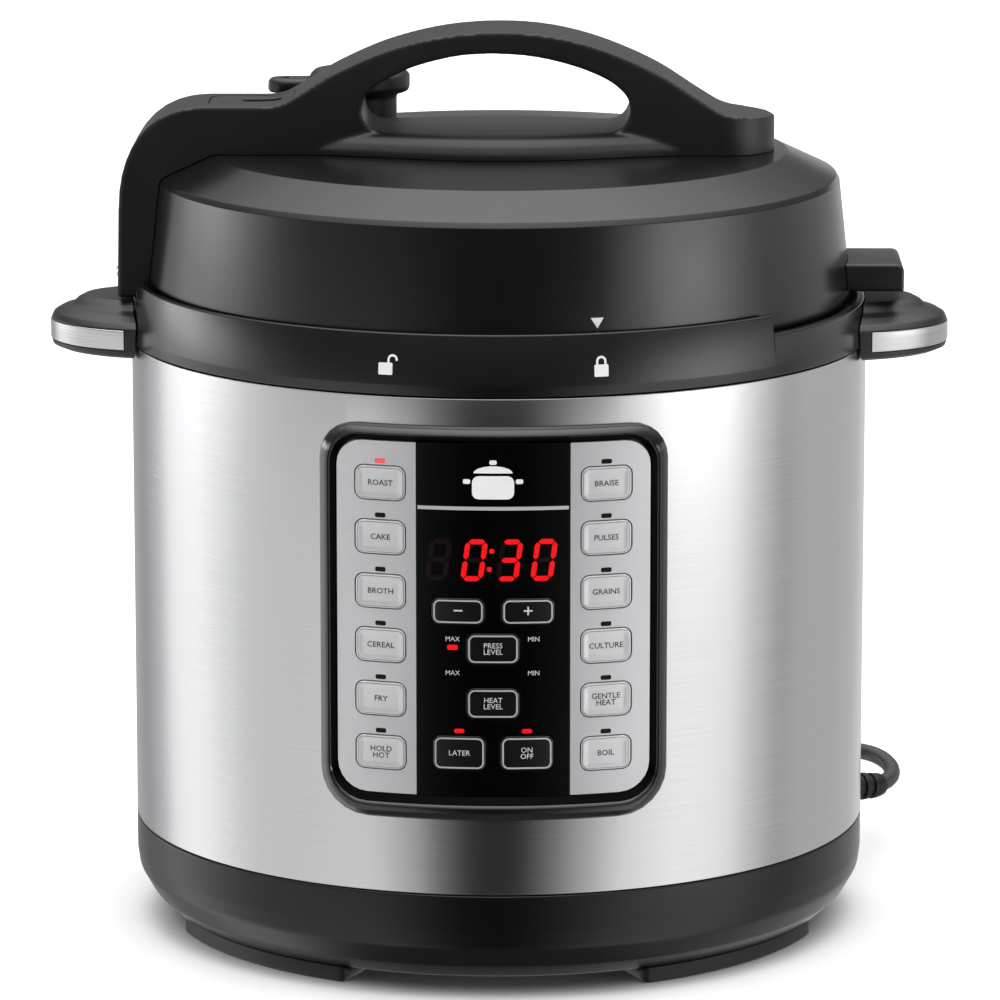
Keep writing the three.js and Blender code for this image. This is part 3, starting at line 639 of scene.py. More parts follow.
def cord_path():
    """The visible lead in metres, from inside the relief's tip to the plug."""
    coil = coil_points()
    start = way_in()
    hidden = [point for point in start if (point - start[0]).length < RELIEF_TIP - STRAIGHT_END - 5]
    way_out = spline([coil[-1], *TAIL_ROUTE], 6)
    return [Vector(point) * MM for point in start[len(hidden):] + coil[1:] + way_out[1:]]


def power_cord():
    path = cord_path()
    curve = bpy.data.curves.new("mains_lead", "CURVE")
    curve.dimensions = "3D"
    curve.bevel_depth = CORD_R * MM
    curve.bevel_resolution = 5
    curve.use_fill_caps = True
    line = curve.splines.new("POLY")
    line.points.add(len(path) - 1)
    for point, place in zip(line.points, path):
        point.co = (*place, 1)
    line.use_smooth = True
    curve.materials.append(JACKET)
    lead = in_scene("mains_lead", curve)
    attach(lead, "base")
    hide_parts("power_cord", "cord_coil", "cord_tail")
    return lead, sum((b - a).length for a, b in zip(path, path[1:]))


def along_lead(mesh):
    """A shape turned about Z laid along the lead, out of the tray."""
    frames = {}

    def place(x, y, z):
        if z not in frames:
            frames[z] = on_lead(z)
        centre, onward = frames[z]
        side = onward.cross(Vector((0, 0, 1))).normalized()
        return centre - side * x + side.cross(onward) * y

    return remapped(mesh, place)


def strain_relief():
    """A tapered sleeve with ribs, held in the tray by a flange inside, that bends with the lead."""
    start = BODY_R + 4.6
    profile = [(0, 126), (8.6, 126, 0.6), (8.6, 130, 0.6), (6.3, 130), (6.3, BODY_R + 0.5),
               (7.0, BODY_R + 0.7, 0.5), (7.0, BODY_R + 3.4, 0.9)]
    for rib in range(6):
        at = start + 4.1 * rib
        thick = 6.6 - 1.9 * (at - start) / (RELIEF_TIP - start)
        profile += [(thick - 1.0, at, 0.25), (thick - 1.0, at + 1.4, 0.25), (thick, at + 1.5, 0.3),
                    (thick - 0.1, at + 2.7), (thick - 0.2, at + 3.9, 0.3)]
    profile += [(4.5, RELIEF_TIP, 0.6), (CORD_R, RELIEF_TIP), (CORD_R, RELIEF_TIP - 3),
                (0, RELIEF_TIP - 3)]
    return along_lead(turned(profile, segments=ROUND_SMALL))


PLUG_LOW, PLUG_HIGH = corners("plug")
PLUG_TIP = PLUG_HIGH.x
PLUG_Y = (PLUG_LOW.y + PLUG_HIGH.y) / 2
PLUG_HALF_HEIGHT = 13
PLUG_Z = PLUG_LOW.z + PLUG_HALF_HEIGHT


def on_plug(mesh):
    """A shape along Z laid along the plug, with its X up."""
    return remapped(mesh, lambda x, y, z: (PLUG_TIP - z, PLUG_Y + y, PLUG_Z + x))


def plug_body():
    """The moulded grip: narrow at the lead, with a waist for the fingers."""
    widths = [(28, 0.62), (30, 0.8), (33, 0.93), (38, 0.91), (44, 0.86), (50, 0.9), (55, 0.98),
              (57, 1), (57.7, 0.97), (58, 0.93)]
    outline = rectangle(-PLUG_HALF_HEIGHT, PLUG_HALF_HEIGHT, -12, 12, 5)()
    rings = [[(x * share, y * share, height) for x, y in outline] for height, share in widths]
    profile = [(0, 0.2), (4.3, 0.2, 0.5)]
    for rib in range(5):
        at = 2.5 + 4.6 * rib
        reach = 4.4 + 0.1 * at
        profile += [(reach - 0.8, at, 0.25), (reach - 0.7, at + 1.4, 0.25),
                    (reach + 0.2, at + 1.5, 0.3), (reach + 0.5, at + 4.5, 0.3)]
    profile += [(9.0, 27, 1.0), (9.0, 32), (0, 32)]
    return on_plug(combine(loft(rings), [turned(profile, segments=ROUND_SMALL)], "UNION"))


def plug_pins():
    """Two flat blades and a round earth pin."""
    blades = [
        stack(rectangle(2.4, 8.7, y - 0.8, y + 0.8, 0.3), soft_edges(56, 75, 0.1, 0.7))
        for y in (-6.35, 6.35)
    ]
    earth = moved(turned([(0, 56), (2.4, 56), (2.4, 78, 1.6), (0, 78)], segments=32), x=-6)
    return on_plug(merged(*blades, earth))


CORD, cord_length = power_cord()
show("lead_relief", strain_relief(), RUBBER, "base", "black_rubber", "strain_relief")
PLUG = show("plug_grip", plug_body(), RUBBER, "base", "black_rubber", "plug")
PINS = show("plug_pins", plug_pins(), PIN_METAL, "base", "bare_steel")
on_lead(RELIEF_TIP)[0] * MM

# ---- base ----


def base_tray():
    """A turned tray with a lip inside the steel, and a hole for the lead."""
    bottom, lip_top = TRAY_LOW.z, TRAY_HIGH.z
    joint = SHELL_LOW.z - 0.3
    lip_r = BODY_R - 1.4
    tray = turned([
        (0, bottom), (126.6, bottom, 2), (132.6, 12, 6), (137.2, 20, 8), (BODY_R, 26, 6),
        (BODY_R, joint, 0.9), (lip_r, joint, 0.2), (lip_r, lip_top, 0.5), (134.4, lip_top, 0.5),
        (134.2, 26.5, 6), (130, 16.5, 6), (124.5, bottom + 3, 3), (0, bottom + 3),
    ])
    return combine(tray, [along_lead(cylinder(6.7, 120, 150, ROUND_SMALL))])


def foot(start, end):
    """A pad under the tray's edge, from one bearing to another."""
    section = rectangle(108, 125.8, 0, TRAY_LOW.z - 0.3, 2.2, 1.2, 0.6, 0.6, steps=4)
    return arc_block(section, start, end, 3)


def outer_shell():
    """Thin steel, with an opening behind the panel."""
    low, high = SHELL_LOW.z, SHELL_HIGH.z
    inner = BODY_R - 0.8
    skin = turned([
        (inner, low, 0.25), (BODY_R, low, 0.4), (BODY_R, high, 0.4), (inner, high, 0.25)], True)
    window = prism(rectangle(-52, 52, 74, 206, 8)(), -150, -100)
    return combine(skin, [window])


def collar_radius(height):
    """The collar's outside leans inward above its widest line."""
    return 138.4 - 0.1 * max(height - 226, 0) - 0.09 * max(height - 238, 0)


def collar():
    """A ring whose top is lowered where the lid's leg and fin swing."""
    low, top = COLLAR_LOW.z, COLLAR_HIGH.z
    lowered = 237.6
    step, end = 47.3, 99.5

    def section(height):
        return rounded([
            (136.4, low, 0.3), (138.5, low, 0.5), (138.4, 226, 2), (collar_radius(height), height, 0.8),
            (133.7 + 0.045 * (top - height), height, 0.6), (134.4, 229, 1), (126.5, 229, 0.4),
            (126.5, 226.5, 0.4), (136.2, 226.5, 0.5),
        ], closed=True, steps=4)

    bearings = list(range(0, 360, 2))
    for edge in (step, end, step + 180, end + 180):
        bearings += [edge + shift for shift in (-0.14, -0.02, 0.02, 0.14)]
    rings = []
    for bearing in sorted(bearings):
        inside = step < bearing % 180 < end
        rings.append([on_circle(r, bearing, z) for r, z in section(lowered if inside else top)])
    return loft(rings, loop=True)


def padlock(bearing, middle_z, open_shackle):
    """A small lock sign: its body and its shackle, closed or swung open."""
    body = rectangle(-2.6, 2.6, middle_z - 3.7, middle_z + 0.6, 0.4, steps=3)
    shift = 2.6 if open_shackle else 0
    turns = [radians(angle) for angle in range(0, 181, 15)]
    foot_z = middle_z + 0.4
    outer = [(shift + 1.9 * cos(t), foot_z + 1.4 + 1.9 * sin(t)) for t in turns]
    inner = [(shift + 1.1 * cos(t), foot_z + 1.4 + 1.1 * sin(t)) for t in reversed(turns)]
    right_foot = foot_z + 1.0 if open_shackle else foot_z
    shackle = [(shift + 1.1, right_foot), (shift + 1.9, right_foot)] + outer
    shackle += [(shift - 1.9, foot_z), (shift - 1.1, foot_z)] + inner
    shapes = [prism(body(), -0.03, PRINT), prism(shackle, -0.03, PRINT)]
    return wrapped(merged(*shapes), bearing, collar_radius)


# ---- side handles ----

RIGHT_LOW, RIGHT_HIGH = corners("right_handle")
SIDE_CENTRE_X = 120
SIDE_REACH = RIGHT_HIGH.x - 0.2 - SIDE_CENTRE_X
TRIM_LOW, TRIM_HIGH = corners("right_handle_trim")


def side_ratio(height):
    """How much narrower the handle's plan is than it is long, at a height."""
    rim, plateau = 36 / 48.6, 0.61
    share = min(max((height - TRIM_HIGH.z) / (RIGHT_HIGH.z - TRIM_HIGH.z), 0), 1)
    return rim + (plateau - rim) * share * share * (3 - 2 * share)


def side_solid(profile, closed=False):
    return moved(turned(profile, closed, 128, side_ratio), x=SIDE_CENTRE_X)


def end_block(x):
    """Everything beyond a place along X."""
    return stack(rectangle(x, 190, -60, 60, 0.1), [(0, 200), (0, 250)])


def side_handle():
    """A grip with a groove for its trim and a hollow under it, fitted to the collar."""
    low, high = RIGHT_LOW.z, RIGHT_HIGH.z
    reach = SIDE_REACH
    body = side_solid([
        (0, low), (44.5, low, 1), (48, low + 1.4, 0.8), (reach, low + 2.8, 0.6), (reach, 228.4, 0.6),
        (47.4, 230.4, 1.2), (44.2, 232.3, 2), (40.4, 233.4, 3), (38.2, 235.4, 2), (35.6, high, 1.2),
        (0, high),
    ])
    groove = combine(side_solid([
        (47.1, TRIM_LOW.z - 0.3), (54, TRIM_LOW.z - 0.3), (54, TRIM_HIGH.z + 0.3),
        (47.1, TRIM_HIGH.z + 0.3),
    ], True), [end_block(TRIM_LOW.x - 0.3)], "INTERSECT")
    grip = combine(side_solid([(0, 205), (40.5, 205), (40, 220), (39.5, 227.5, 3), (0, 227.5)]),
                   [end_block(142)], "INTERSECT")
    collar_space = turned([
        (0, 200), (138.9, 200), (138.9, 222.6), (138.8, 226), (137.6, 238), (136.2, 250), (0, 250)])
    return combine(body, [groove, grip, collar_space])


def side_trim():
    strip = side_solid([
        (47.4, TRIM_LOW.z, 0.2), (48.8, TRIM_LOW.z, 0.5), (48.8, TRIM_HIGH.z, 0.5),
        (47.4, TRIM_HIGH.z, 0.2),
    ], True)
    return combine(strip, [end_block(TRIM_LOW.x)], "INTERSECT")


def left_of(mesh):
    """The same piece on the other side: half a turn round."""
    return remapped(mesh, lambda x, y, z: (-x, -y, z))


# ---- inside the body ----

LUGS = range(0, 360, 60)
LUG_HALF_ANGLE = 13


def inner_housing():
    low, high = HOUSING_LOW.z, HOUSING_HIGH.z
    inner, outer = 113, 114.2
    return turned([
        (20, low, 0.3), (outer, low, 5), (outer, high - 1.5, 1.2), (132, high - 1.5, 0.3),
        (132, high, 0.3), (inner, high, 2), (inner, low + 1.2, 4), (20, low + 1.2, 0.3),
    ], True)


def lugged(ring, section):
    """A ring with the lugs of the twist lock."""
    lugs = [arc_block(section, at - LUG_HALF_ANGLE, at + LUG_HALF_ANGLE, 0.8) for at in LUGS]
    return combine(ring, lugs, "UNION")


def locking_ring():
    low, high = corners("locking_ring")
    ring = turned([
        (114.6, low.z, 0.3), (125.6, low.z, 0.4), (125.6, low.z + 1.8, 0.4), (118.5, low.z + 1.8, 0.8),
        (118.5, high.z, 0.4), (114.6, high.z, 0.4),
    ], True)
    return lugged(ring, rectangle(118, 123.6, high.z - 2.4, high.z, 0.01, 0.6, 0.6, 0.01))


def heater_plate():
    """A cast plate on a stand ring, with shallow rings turned in its face."""
    low, high = corners("heater_plate")
    profile = [(14, 74, 0.5), (50, 74, 1), (50, low.z, 0.4), (60, low.z, 0.4), (60, 74, 1),
               (98, 74, 0.8), (100, 76, 0.8), (100, high.z, 1.2)]
    for groove in range(92, 20, -9):
        profile += [(groove, high.z, 0.3), (groove - 0.6, high.z - 0.5, 0.3),
                    (groove - 1.2, high.z, 0.3)]
    return turned(profile + [(14, high.z, 0.8)], True)


def thermostat_sensor():
    low, high = corners("thermostat_sensor")
    return turned([
        (0, low.z), (9, low.z, 0.8), (9, 70, 0.5), (12.6, 70, 0.6), (12.6, high.z - 0.9, 0.5),
        (11.6, high.z, 0.6), (0, high.z),
    ], segments=ROUND_SMALL)


def inner_pot():
    low, rim = POT_LOW.z, POT_HIGH.z
    inner, outer = 110, 111
    return turned([
        (0, low), (outer, low, 9), (outer, rim - 1.6, 1.2), (118.8, rim - 1.6, 0.5), (118.8, rim, 0.5),
        (inner, rim, 1.4), (inner, low + 1, 8), (0, low + 1),
    ])


def board_parts():
    """The power board with its legs, and what stands on it."""
    low, high = corners("power_board")
    top = low.z + 11.8
    board = stack(rectangle(low.x, high.x, low.y, high.y, 3), soft_edges(top - 1.6, top, 0.2, 0.2))
    leg = [(0, low.z), (3, low.z, 0.4), (3, top - 1.2), (0, top - 1.2)]
    legs = [moved(turned(leg, segments=32), x, y) for x in (-44, 44) for y in (-29, 29)]
    core = stack(rectangle(-32, 0, -22, 10, 1), soft_edges(top - 0.5, 46, 0.3, 0.8))
    relay = stack(rectangle(14, 34, -24, -4, 1), soft_edges(top - 0.5, 37, 0.3, 0.8))
    can = turned([(0, top - 0.5), (7, top - 0.5, 0.4), (7, 42, 1), (0, 42)], segments=48)
    can = moved(can, 26, 14)
    return combine(board, legs, "UNION"), merged(core, relay), can


def control_board():
    low, high = corners("control_board")
    board = upright(rectangle(low.x, high.x, low.z, high.z, 3), soft_edges(-118, -116.4, 0.2, 0.2))
    posts = []
    for x in (-44, 44):
        for z in (86, 198):
            post = turned([(0, 116.9), (3, 116.9), (3, 129.6, 0.5), (0, 129.6)], segments=32)
            posts.append(remapped(post, lambda px, py, pz, x=x, z=z: (x + px, -pz, z + py)))
    return combine(board, posts, "UNION")


# ---- control panel ----

WINDOW_HALF_WIDTH = corners("display_window")[1].x
DISPLAY_Z = 164.1
DIGIT_LEAN = 0.14
FILM_TOP = OVERLAY_R + PRINT
BEZEL_WIDTH = 5.7
LIP_INSET = 4.0


def bezel_ring(inset, radius):
    """The panel's outline, moved inward, at a distance from the body's axis."""
    half_width = BEZEL_HIGH.x
    share = inset / BEZEL_WIDTH
    low_round, high_round = 17 - 6 * share, 13 - 3.5 * share
    outline = rectangle(-half_width + inset, half_width - inset, BEZEL_LOW.z + inset * 1.6,
                        BEZEL_HIGH.z - inset * 0.93, low_round, low_round, high_round, high_round)
    return [(x, radius, z) for x, z in outline()]


def control_bezel():
    """A crowned frame with a sunk tray for the keypad and a hole for the display."""
    back, floor_r = BODY_R + 0.4, 139.2
    crown = [(0, back), (0, floor_r), (0.2, 140.0), (0.8, 141.0), (1.5, 141.75), (2.2, 142.3),
             (2.8, BEZEL_R), (3.3, 142.4), (3.8, 141.8), (LIP_INSET, 141.1), (LIP_INSET, floor_r)]
    rings = [bezel_ring(inset, radius) for inset, radius in crown]
    hole = rectangle(-24, 24, 154, 175, 2)()
    rings += [[(x, radius, z) for x, z in hole] for radius in (floor_r, back)]
    return bent(loft(rings, loop=True))


def bezel_shade_lip():
    """A sloping band between the crown and the keypad, in a darker, duller black than the frame:
    painted shade standing in for the dark that the frame's inner slope reflects.
    """
    profile = [(LIP_INSET, 139.3), (LIP_INSET, 141.5), (BEZEL_WIDTH, 140.5), (BEZEL_WIDTH, 139.3)]
    return bent(loft([bezel_ring(inset, radius) for inset, radius in profile], loop=True))


def key_outline(key):
    """A key's outline, from its CAD box."""
    low, high = corners(key)
    return rectangle(low.x, high.x, low.z, high.z, 3)


def key_cap(key, dished):
    """A key with rounded edges; a silver key's face is pressed in a little."""
    levels = [(0, -2.1), (0, -0.45), (-0.12, -0.2), (-0.4, -0.03), (-0.8, 0)]
    if dished:
        levels += [(-1.2, -0.02), (-1.7, -0.12), (-2.3, -0.22), (-2.9, -0.26)]
    return bent(upright(key_outline(key), [(margin, KEY_R + out) for margin, out in levels]))


def key_line(key, start, end, height):
    """A printed line that follows a key's edge."""
    outline = key_outline(key)
    holes = [lambda m: outline(m - end)]
    return bent(plate(lambda m: outline(m - start), holes, KEY_R - 0.05, KEY_R + height))


def key_label(key, word, size, low, high, bold=0.0):
    """A word in the middle of a key, between two distances from its face."""
    middle = sum(corners(key), Vector((0, 0, 0))) / 2
    return bent(lettering(word, middle.x, middle.z, size, KEY_R + low, KEY_R + high, bold))


def key_lamp(key):
    """The outline of the small lamp over a key."""
    low, high = corners(key)
    return pill((low.x + high.x) / 2, high.z + 1.9, 3.8, 1.7)


COLUMNS = {
    "left": ("ROAST", "CAKE", "BROTH", "CEREAL", "FRY", "HOLD\nHOT"),
    "right": ("BRAISE", "PULSES", "GRAINS", "CULTURE", "GENTLE\nHEAT", "BOIL"),
}
PROGRAMMES = {
    f"key_{side}_{row}": word for side, words in COLUMNS.items() for row, word in enumerate(words, 1)
}
CENTRE_WORDS = {
    "key_minus": "\u2212", "key_plus": "+", "key_pressure": "PRESS\nLEVEL",
    "key_temperature": "HEAT\nLEVEL", "key_delay": "LATER", "key_start": "ON\nOFF",
}
LIT_KEY = "key_left_1"


def keypad_sheet(x0, x1, keys, radii):
    """A printed film with a hole round each of its keys."""
    holes = [key_outline(key) for key in keys]
    grown = [lambda m, hole=hole: hole(m + 0.35) for hole in holes]
    sheet = rectangle(x0, x1, OVERLAY_LOW.z, OVERLAY_HIGH.z, *radii)
    return bent(plate(sheet, grown, OVERLAY_R - 1.9, OVERLAY_R, 0.15))


def on_film(outlines):
    """Printed shapes on the panel's film."""
    return bent(merged(*[prism(outline, OVERLAY_R - 0.05, FILM_TOP) for outline in outlines]))


def pill(x, z, width, height, radius=0.6):
    return rectangle(x - width / 2, x + width / 2, z - height / 2, z + height / 2, radius, steps=4)()


def segment(start, end, thickness):
    """A display segment: a bar with pointed ends."""
    start, end = Vector(start), Vector(end)
    along = (end - start).normalized() * (thickness / 2)
    side = Vector((-along.y, along.x))
    return [start, start + along + side, end - along + side, end, end - along - side,
            start + along - side]


def digit(centre_x, lit):
    """The segments named in lit, of a leaning seven-segment digit."""
    half_width, half_height, thickness, gap = 3.1, 6.7, 1.85, 0.22
    joints = {
        "a": ((-1, 1), (1, 1)), "b": ((1, 1), (1, 0)), "c": ((1, 0), (1, -1)),
        "d": ((-1, -1), (1, -1)), "e": ((-1, -1), (-1, 0)), "f": ((-1, 0), (-1, 1)),
        "g": ((-1, 0), (1, 0)),
    }
    shapes = []
    for name in lit:
        start, end = (Vector((x * half_width, z * half_height)) for x, z in joints[name])
        shorten = (end - start).normalized() * gap
        outline = segment(start + shorten, end - shorten, thickness)
        shapes.append([(centre_x + x + DIGIT_LEAN * z, DISPLAY_Z + z) for x, z in outline])
    return shapes


def colon():
    return [pill(-0.9 + DIGIT_LEAN * z, DISPLAY_Z + z, 1.7, 1.7, 0.5) for z in (-3.3, 3.3)]


def display_module():
    """The block behind the window that carries the digits."""
    low, high = corners("display_module")
    return upright(rectangle(low.x, high.x, low.z, high.z, 1), soft_edges(low.y, high.y, 0.3, 0.3))


def pot_symbol():
    """A plain picture of a pot with its lid."""
    lid_z, lid_r = 195.6, 7
    dome = [(-lid_r, lid_z), (lid_r, lid_z)] + [
        (lid_r * cos(radians(t)), lid_z + 2.6 * sin(radians(t))) for t in range(20, 161, 20)]
    handles = [pill(x, 192.6, 2.6, 1.7) for x in (-9.4, 9.4)]
    return [pill(0, 190.4, 15, 8.4, 2.4), *handles, dome, pill(0, 199.5, 2.6, 1.6)]


# ---- lid ----

SHOULDER_R = 127.5


def lid_radius(height):
    """The wall's outer radius at a height."""
    return LID_R - 0.1 - (LID_R - 0.1 - SHOULDER_R) * (height - 244) / 37.1


def lid_crown(margin=0.0):
    """The lid's outside above its wall, grown by a clearance."""
    points = [(SHOULDER_R, 281.1, 1), (SHOULDER_R - 1.2, 283.1, 0.8), (107.8, 291.8, 2)]
    return [(r + margin, z + margin, turn) for r, z, turn in points] + [(0, LID_HIGH.z + margin)]


def lid_shell():
    bottom, wall = LID_LOW.z, 2.5
    rim = (LID_R - wall, bottom)
    shell = turned([
        rim, (LID_R, bottom, 0.6), (LID_R - 0.1, 244, 3), *lid_crown(), (0, LID_HIGH.z - wall),
        (107, 289.2, 2), (SHOULDER_R - 3.4, 280.8, 2), (LID_R - wall - 0.1, 244, 3), rim,
    ])
    return combine(shell, [bore(*STEAM, 5.6), bore(*FLOAT, 3.8)])


def bore(x, y, radius):
    """A round hole right through the lid."""
    return moved(cylinder(radius, 200, 330, 48), x, y)


STEAM_LOW, STEAM_HIGH = corners("valve_pipe")
STEAM = ((STEAM_LOW.x + STEAM_HIGH.x) / 2, (STEAM_LOW.y + STEAM_HIGH.y) / 2)
FLOAT_LOW, FLOAT_HIGH = corners("float_valve")
FLOAT = ((FLOAT_LOW.x + FLOAT_HIGH.x) / 2, 0)


def lid_space(margin):
    """Everything that the lid fills, grown by a clearance."""
    r = LID_R + margin
    return turned([(0, 200), (r, 200), (r - 0.1, 244), *lid_crown(margin)])


def lid_plate():
    """A pressed disc with a raised ring, a channel for the seal, and lugs under its rim."""
    low, high = PLATE_LOW.z, PLATE_HIGH.z
    face = 246.6
    disc = turned([
        (0, face), (30, face, 2), (34, face + 1.2, 2), (70, face + 1.2, 2), (74, face, 2),
        (110.4, face, 0.6), (111.4, 248.9, 0.8), (126.2, 248.9, 0.6), (126.2, low, 0.4),
        (127.5, low, 0.4), (127.5, high, 0.8), (110.6, high, 0.8), (109.6, face + 1.4, 0.6),
        (74, face + 1.4, 2), (70, face + 2.6, 2), (34, face + 2.6, 2), (30, face + 1.4, 2),
        (0, face + 1.4),
    ])
    plate_with_lugs = lugged(disc, rectangle(120.3, 126.6, low, low + 2.2, 0.6, 0.01, 0.01, 0.6))
    return combine(plate_with_lugs, [bore(*STEAM, 5.1), bore(*FLOAT, 3.8)])


def sealing_ring():
    """A lipped silicone ring in the lid plate's channel."""
    low, high = corners("sealing_ring")
    return turned([
        (113, low.z, 0.4), (118.6, low.z, 0.6), (119.4, low.z + 1, 0.6), (119.2, high.z, 0.8),
        (116.4, high.z, 0.5), (116.2, high.z - 1.6, 0.5), (114.6, high.z - 1.6, 0.5),
        (114.4, high.z, 0.5), (112.2, high.z, 0.8), (112.2, 245, 0.8),
    ], True)


def seal_rack():
    """A wire ring."""
    turns = [radians(30 * step) for step in range(12)]
    return turned([(110.1 + 1.3 * cos(t), 244.9 + 1.3 * sin(t)) for t in turns], True)


# ---- lid handle ----

LEG_X = HANDLE_LOW.x
FLAT_TOP = 309.8
GRIP_FLOOR = 300.6
BAR_END = HANDLE_HIGH.x
NOSE = 19
ARCH = [
    (-88, FLAT_TOP), (-83, 310.2), (-79, 311.5), (-74, 314.3), (-66.5, 319), (-59.2, 323.2),
    (-44.4, 329.8), (-29.4, 334.3), (-14.6, 336.9), (0.4, 337.7), (15.3, 336.9), (30.2, 334),
    (45, 329), (60.2, 321.9), (75, 312.4), (84, 307.3), (92, 305.9),
]


def bar_outline():
    """The bar's side view, in X and Z, with its underside inside the lid."""
    top = [(LEG_X, HANDLE_LOW.z), (LEG_X + 0.8, 272)]
    top += bezier(top[-1], (-141.2, 293), (-131, FLAT_TOP), (-109, FLAT_TOP))
    top += spline(ARCH, 6)
    return top + [(BAR_END, 305), (BAR_END, 286), (-110, 286), (-122, HANDLE_LOW.z)]


def bar_plan():
    """The bar's plan, with a round nose at its right end."""
    nose_x = BAR_END - NOSE
    turns = [radians(angle) for angle in range(-90, 91, 6)]
    nose = [(nose_x + NOSE * cos(t), BAR_HALF_WIDTH * sin(t)) for t in turns]
    return [(-160, -BAR_HALF_WIDTH)] + nose + [(-160, BAR_HALF_WIDTH)]


def grip_outline():
    """The finger opening under the arch, in X and Z."""
    roof = [(46.5, 315.4), (41, 319.8), (30, 324.6), (15, 328.4), (0.4, 329.7), (-14.4, 329),
            (-29, 325.6), (-37, 322.3), (-45, 318)]
    points = [Vector((-42, GRIP_FLOOR)), Vector((41, GRIP_FLOOR))]
    points += bezier((41, GRIP_FLOOR), (48.5, GRIP_FLOOR), (51.5, 310), roof[0])
    points += spline(roof, 4)[1:]
    points += bezier(roof[-1], (-53, 313.5), (-53, GRIP_FLOOR), (-42, GRIP_FLOOR))[:-1]
    return points


def foot_outline(margin):
    """The lens-shaped foot's plan."""
    half_length, half_width, waist, count = 80, 36.5, 19, 24
    sides = ([], [])
    for i in range(count + 1):
        share = 2 * i / count - 1
        width = waist + (half_width - waist) * cos(share * pi / 2) ** 2 + margin
        for side, sign in zip(sides, (-1, 1)):
            side.append((share * (half_length + margin), sign * width))
    return sides[0] + sides[1][::-1]


def handle_foot():
    """The foot, from inside the lid up to its crowned face."""
    base = GRIP_FLOOR - 15
    levels = [(0, base), (0, GRIP_FLOOR - 6.5), (-1.2, GRIP_FLOOR - 3.6), (-3.2, GRIP_FLOOR - 1.3),
              (-5.5, GRIP_FLOOR - 0.3), (-9, GRIP_FLOOR)]
    return stack(foot_outline, levels)


def bar_top(x):
    """The height of the bar's top surface over a place along it."""
    path = spline(ARCH, 6)
    if x <= path[0].x:
        return FLAT_TOP
    for a, b in zip(path, path[1:]):
        if x <= b.x:
            return a.y + (b.y - a.y) * (x - a.x) / (b.x - a.x)
    return path[-1].y


def on_bar(mesh):
    """A piece drawn flat in X and Y, bent to follow the bar's top."""
    return remapped(sliced(mesh, 2.0), lambda x, y, z: (x, y, bar_top(x) + z))


def insert_plan(margin=0.0):
    """The insert's plan, on the flat part of the bar, grown by a clearance."""
    return rectangle(-108 - margin, -76.5 + margin, -13 - margin, 13 + margin, 6)


def lid_handle():
    """The bar on its foot, with the finger opening and a seat for the insert."""
    wide = BAR_HALF_WIDTH + 5
    bar = combine(prism(bar_outline(), -wide, wide), [
        loft([[(x, y, z) for x, y in bar_plan()] for z in (200, 360)])], "INTERSECT")
    whole = combine(combine(bar, [handle_foot()], "UNION"), [prism(grip_outline(), -60, 60)])
    whole = softened(whole, 0.7, 4)
    recess = on_bar(stack(insert_plan(0.3), [(0, -1.8), (0, 4)]))
    return combine(whole, [lid_space(0.25), recess, bore(*FLOAT, 6.5)])


def handle_insert():
    """A thin panel in the bar's top, with an oval window over the float pin."""
    window = rectangle(-96, -80, -3.4, 3.4, 3.3)
    panel = plate(insert_plan(), [window], -1.5, -0.05, 0.35)
    return on_bar(remapped(panel, lambda x, y, z: (x, z, y)))


def leg_screw():
    """A small domed screw with a cross recess, on the leg's outer side."""
    low, high = corners("leg_screw")
    middle_z = (low.z + high.z) / 2
    head = turned([(0, 0), (2.6, 0, 0.1), (2.5, 0.7, 0.3), (1.2, 1.5, 1.5), (0, 1.6)], segments=48)
    sides = ((1.5, 0.3), (0.3, 1.5))
    slots = [stack(rectangle(-a, a, -b, b, 0.1), [(0, 0.9), (0, 3)]) for a, b in sides]
    return remapped(combine(head, slots), lambda x, y, z: (high.x - z, y, middle_z + x))


def lid_fin():
    """The block that stands out of the lid's right side."""
    low, high = corners("lid_fin")
    outline = rectangle(115, high.x, low.z, high.z, 0.8, 0.8, 3, 0.8)
    return combine(upright(outline, soft_edges(low.y, high.y, 1.2, 1.2)), [lid_space(0.25)])


# ---- valves ----

VALVE_LOW, VALVE_HIGH = corners("steam_valve")


def steam_valve():
    """A knob with a lever that points left, on a stem."""
    top = VALVE_HIGH.z
    knob = turned([
        (0, 304.5), (5.4, 304.5, 0.3), (5.4, VALVE_LOW.z), (13, VALVE_LOW.z, 0.6), (14, 294.5, 1),
        (14, 306.6, 1.2), (18.2, 307.8, 0.6), (19, 309.4, 0.8), (19, top - 2, 1.2), (17, top, 1.2),
        (0, top),
    ], segments=96)

    def lever(m):
        return rounded([(0, -8 - m), (-30, -6.6 - m, 5), (-35 - m, -3, 3), (-35 - m, 3, 3),
                        (-30, 6.6 + m, 5), (0, 8 + m)])

    arm = stack(lever, soft_edges(307, 312.6, 1.6, 2))
    whole = softened(combine(knob, [arm], "UNION"), 0.55, 3)
    arrow = stack(lambda m: [(-31, 0), (-27, -2.4), (-27, 2.4)], [(0, 312.2), (0, 314)])
    return moved(combine(whole, [arrow]), *STEAM)


def valve_pipe():
    low, high = STEAM_LOW.z, STEAM_HIGH.z
    return moved(turned([
        (1.6, low, 0.2), (8, low, 0.5), (8, low + 3.2, 0.4), (4.6, low + 3.2, 0.5), (4.6, high, 0.6),
        (1.6, high, 0.3),
    ], True, ROUND_SMALL), *STEAM)


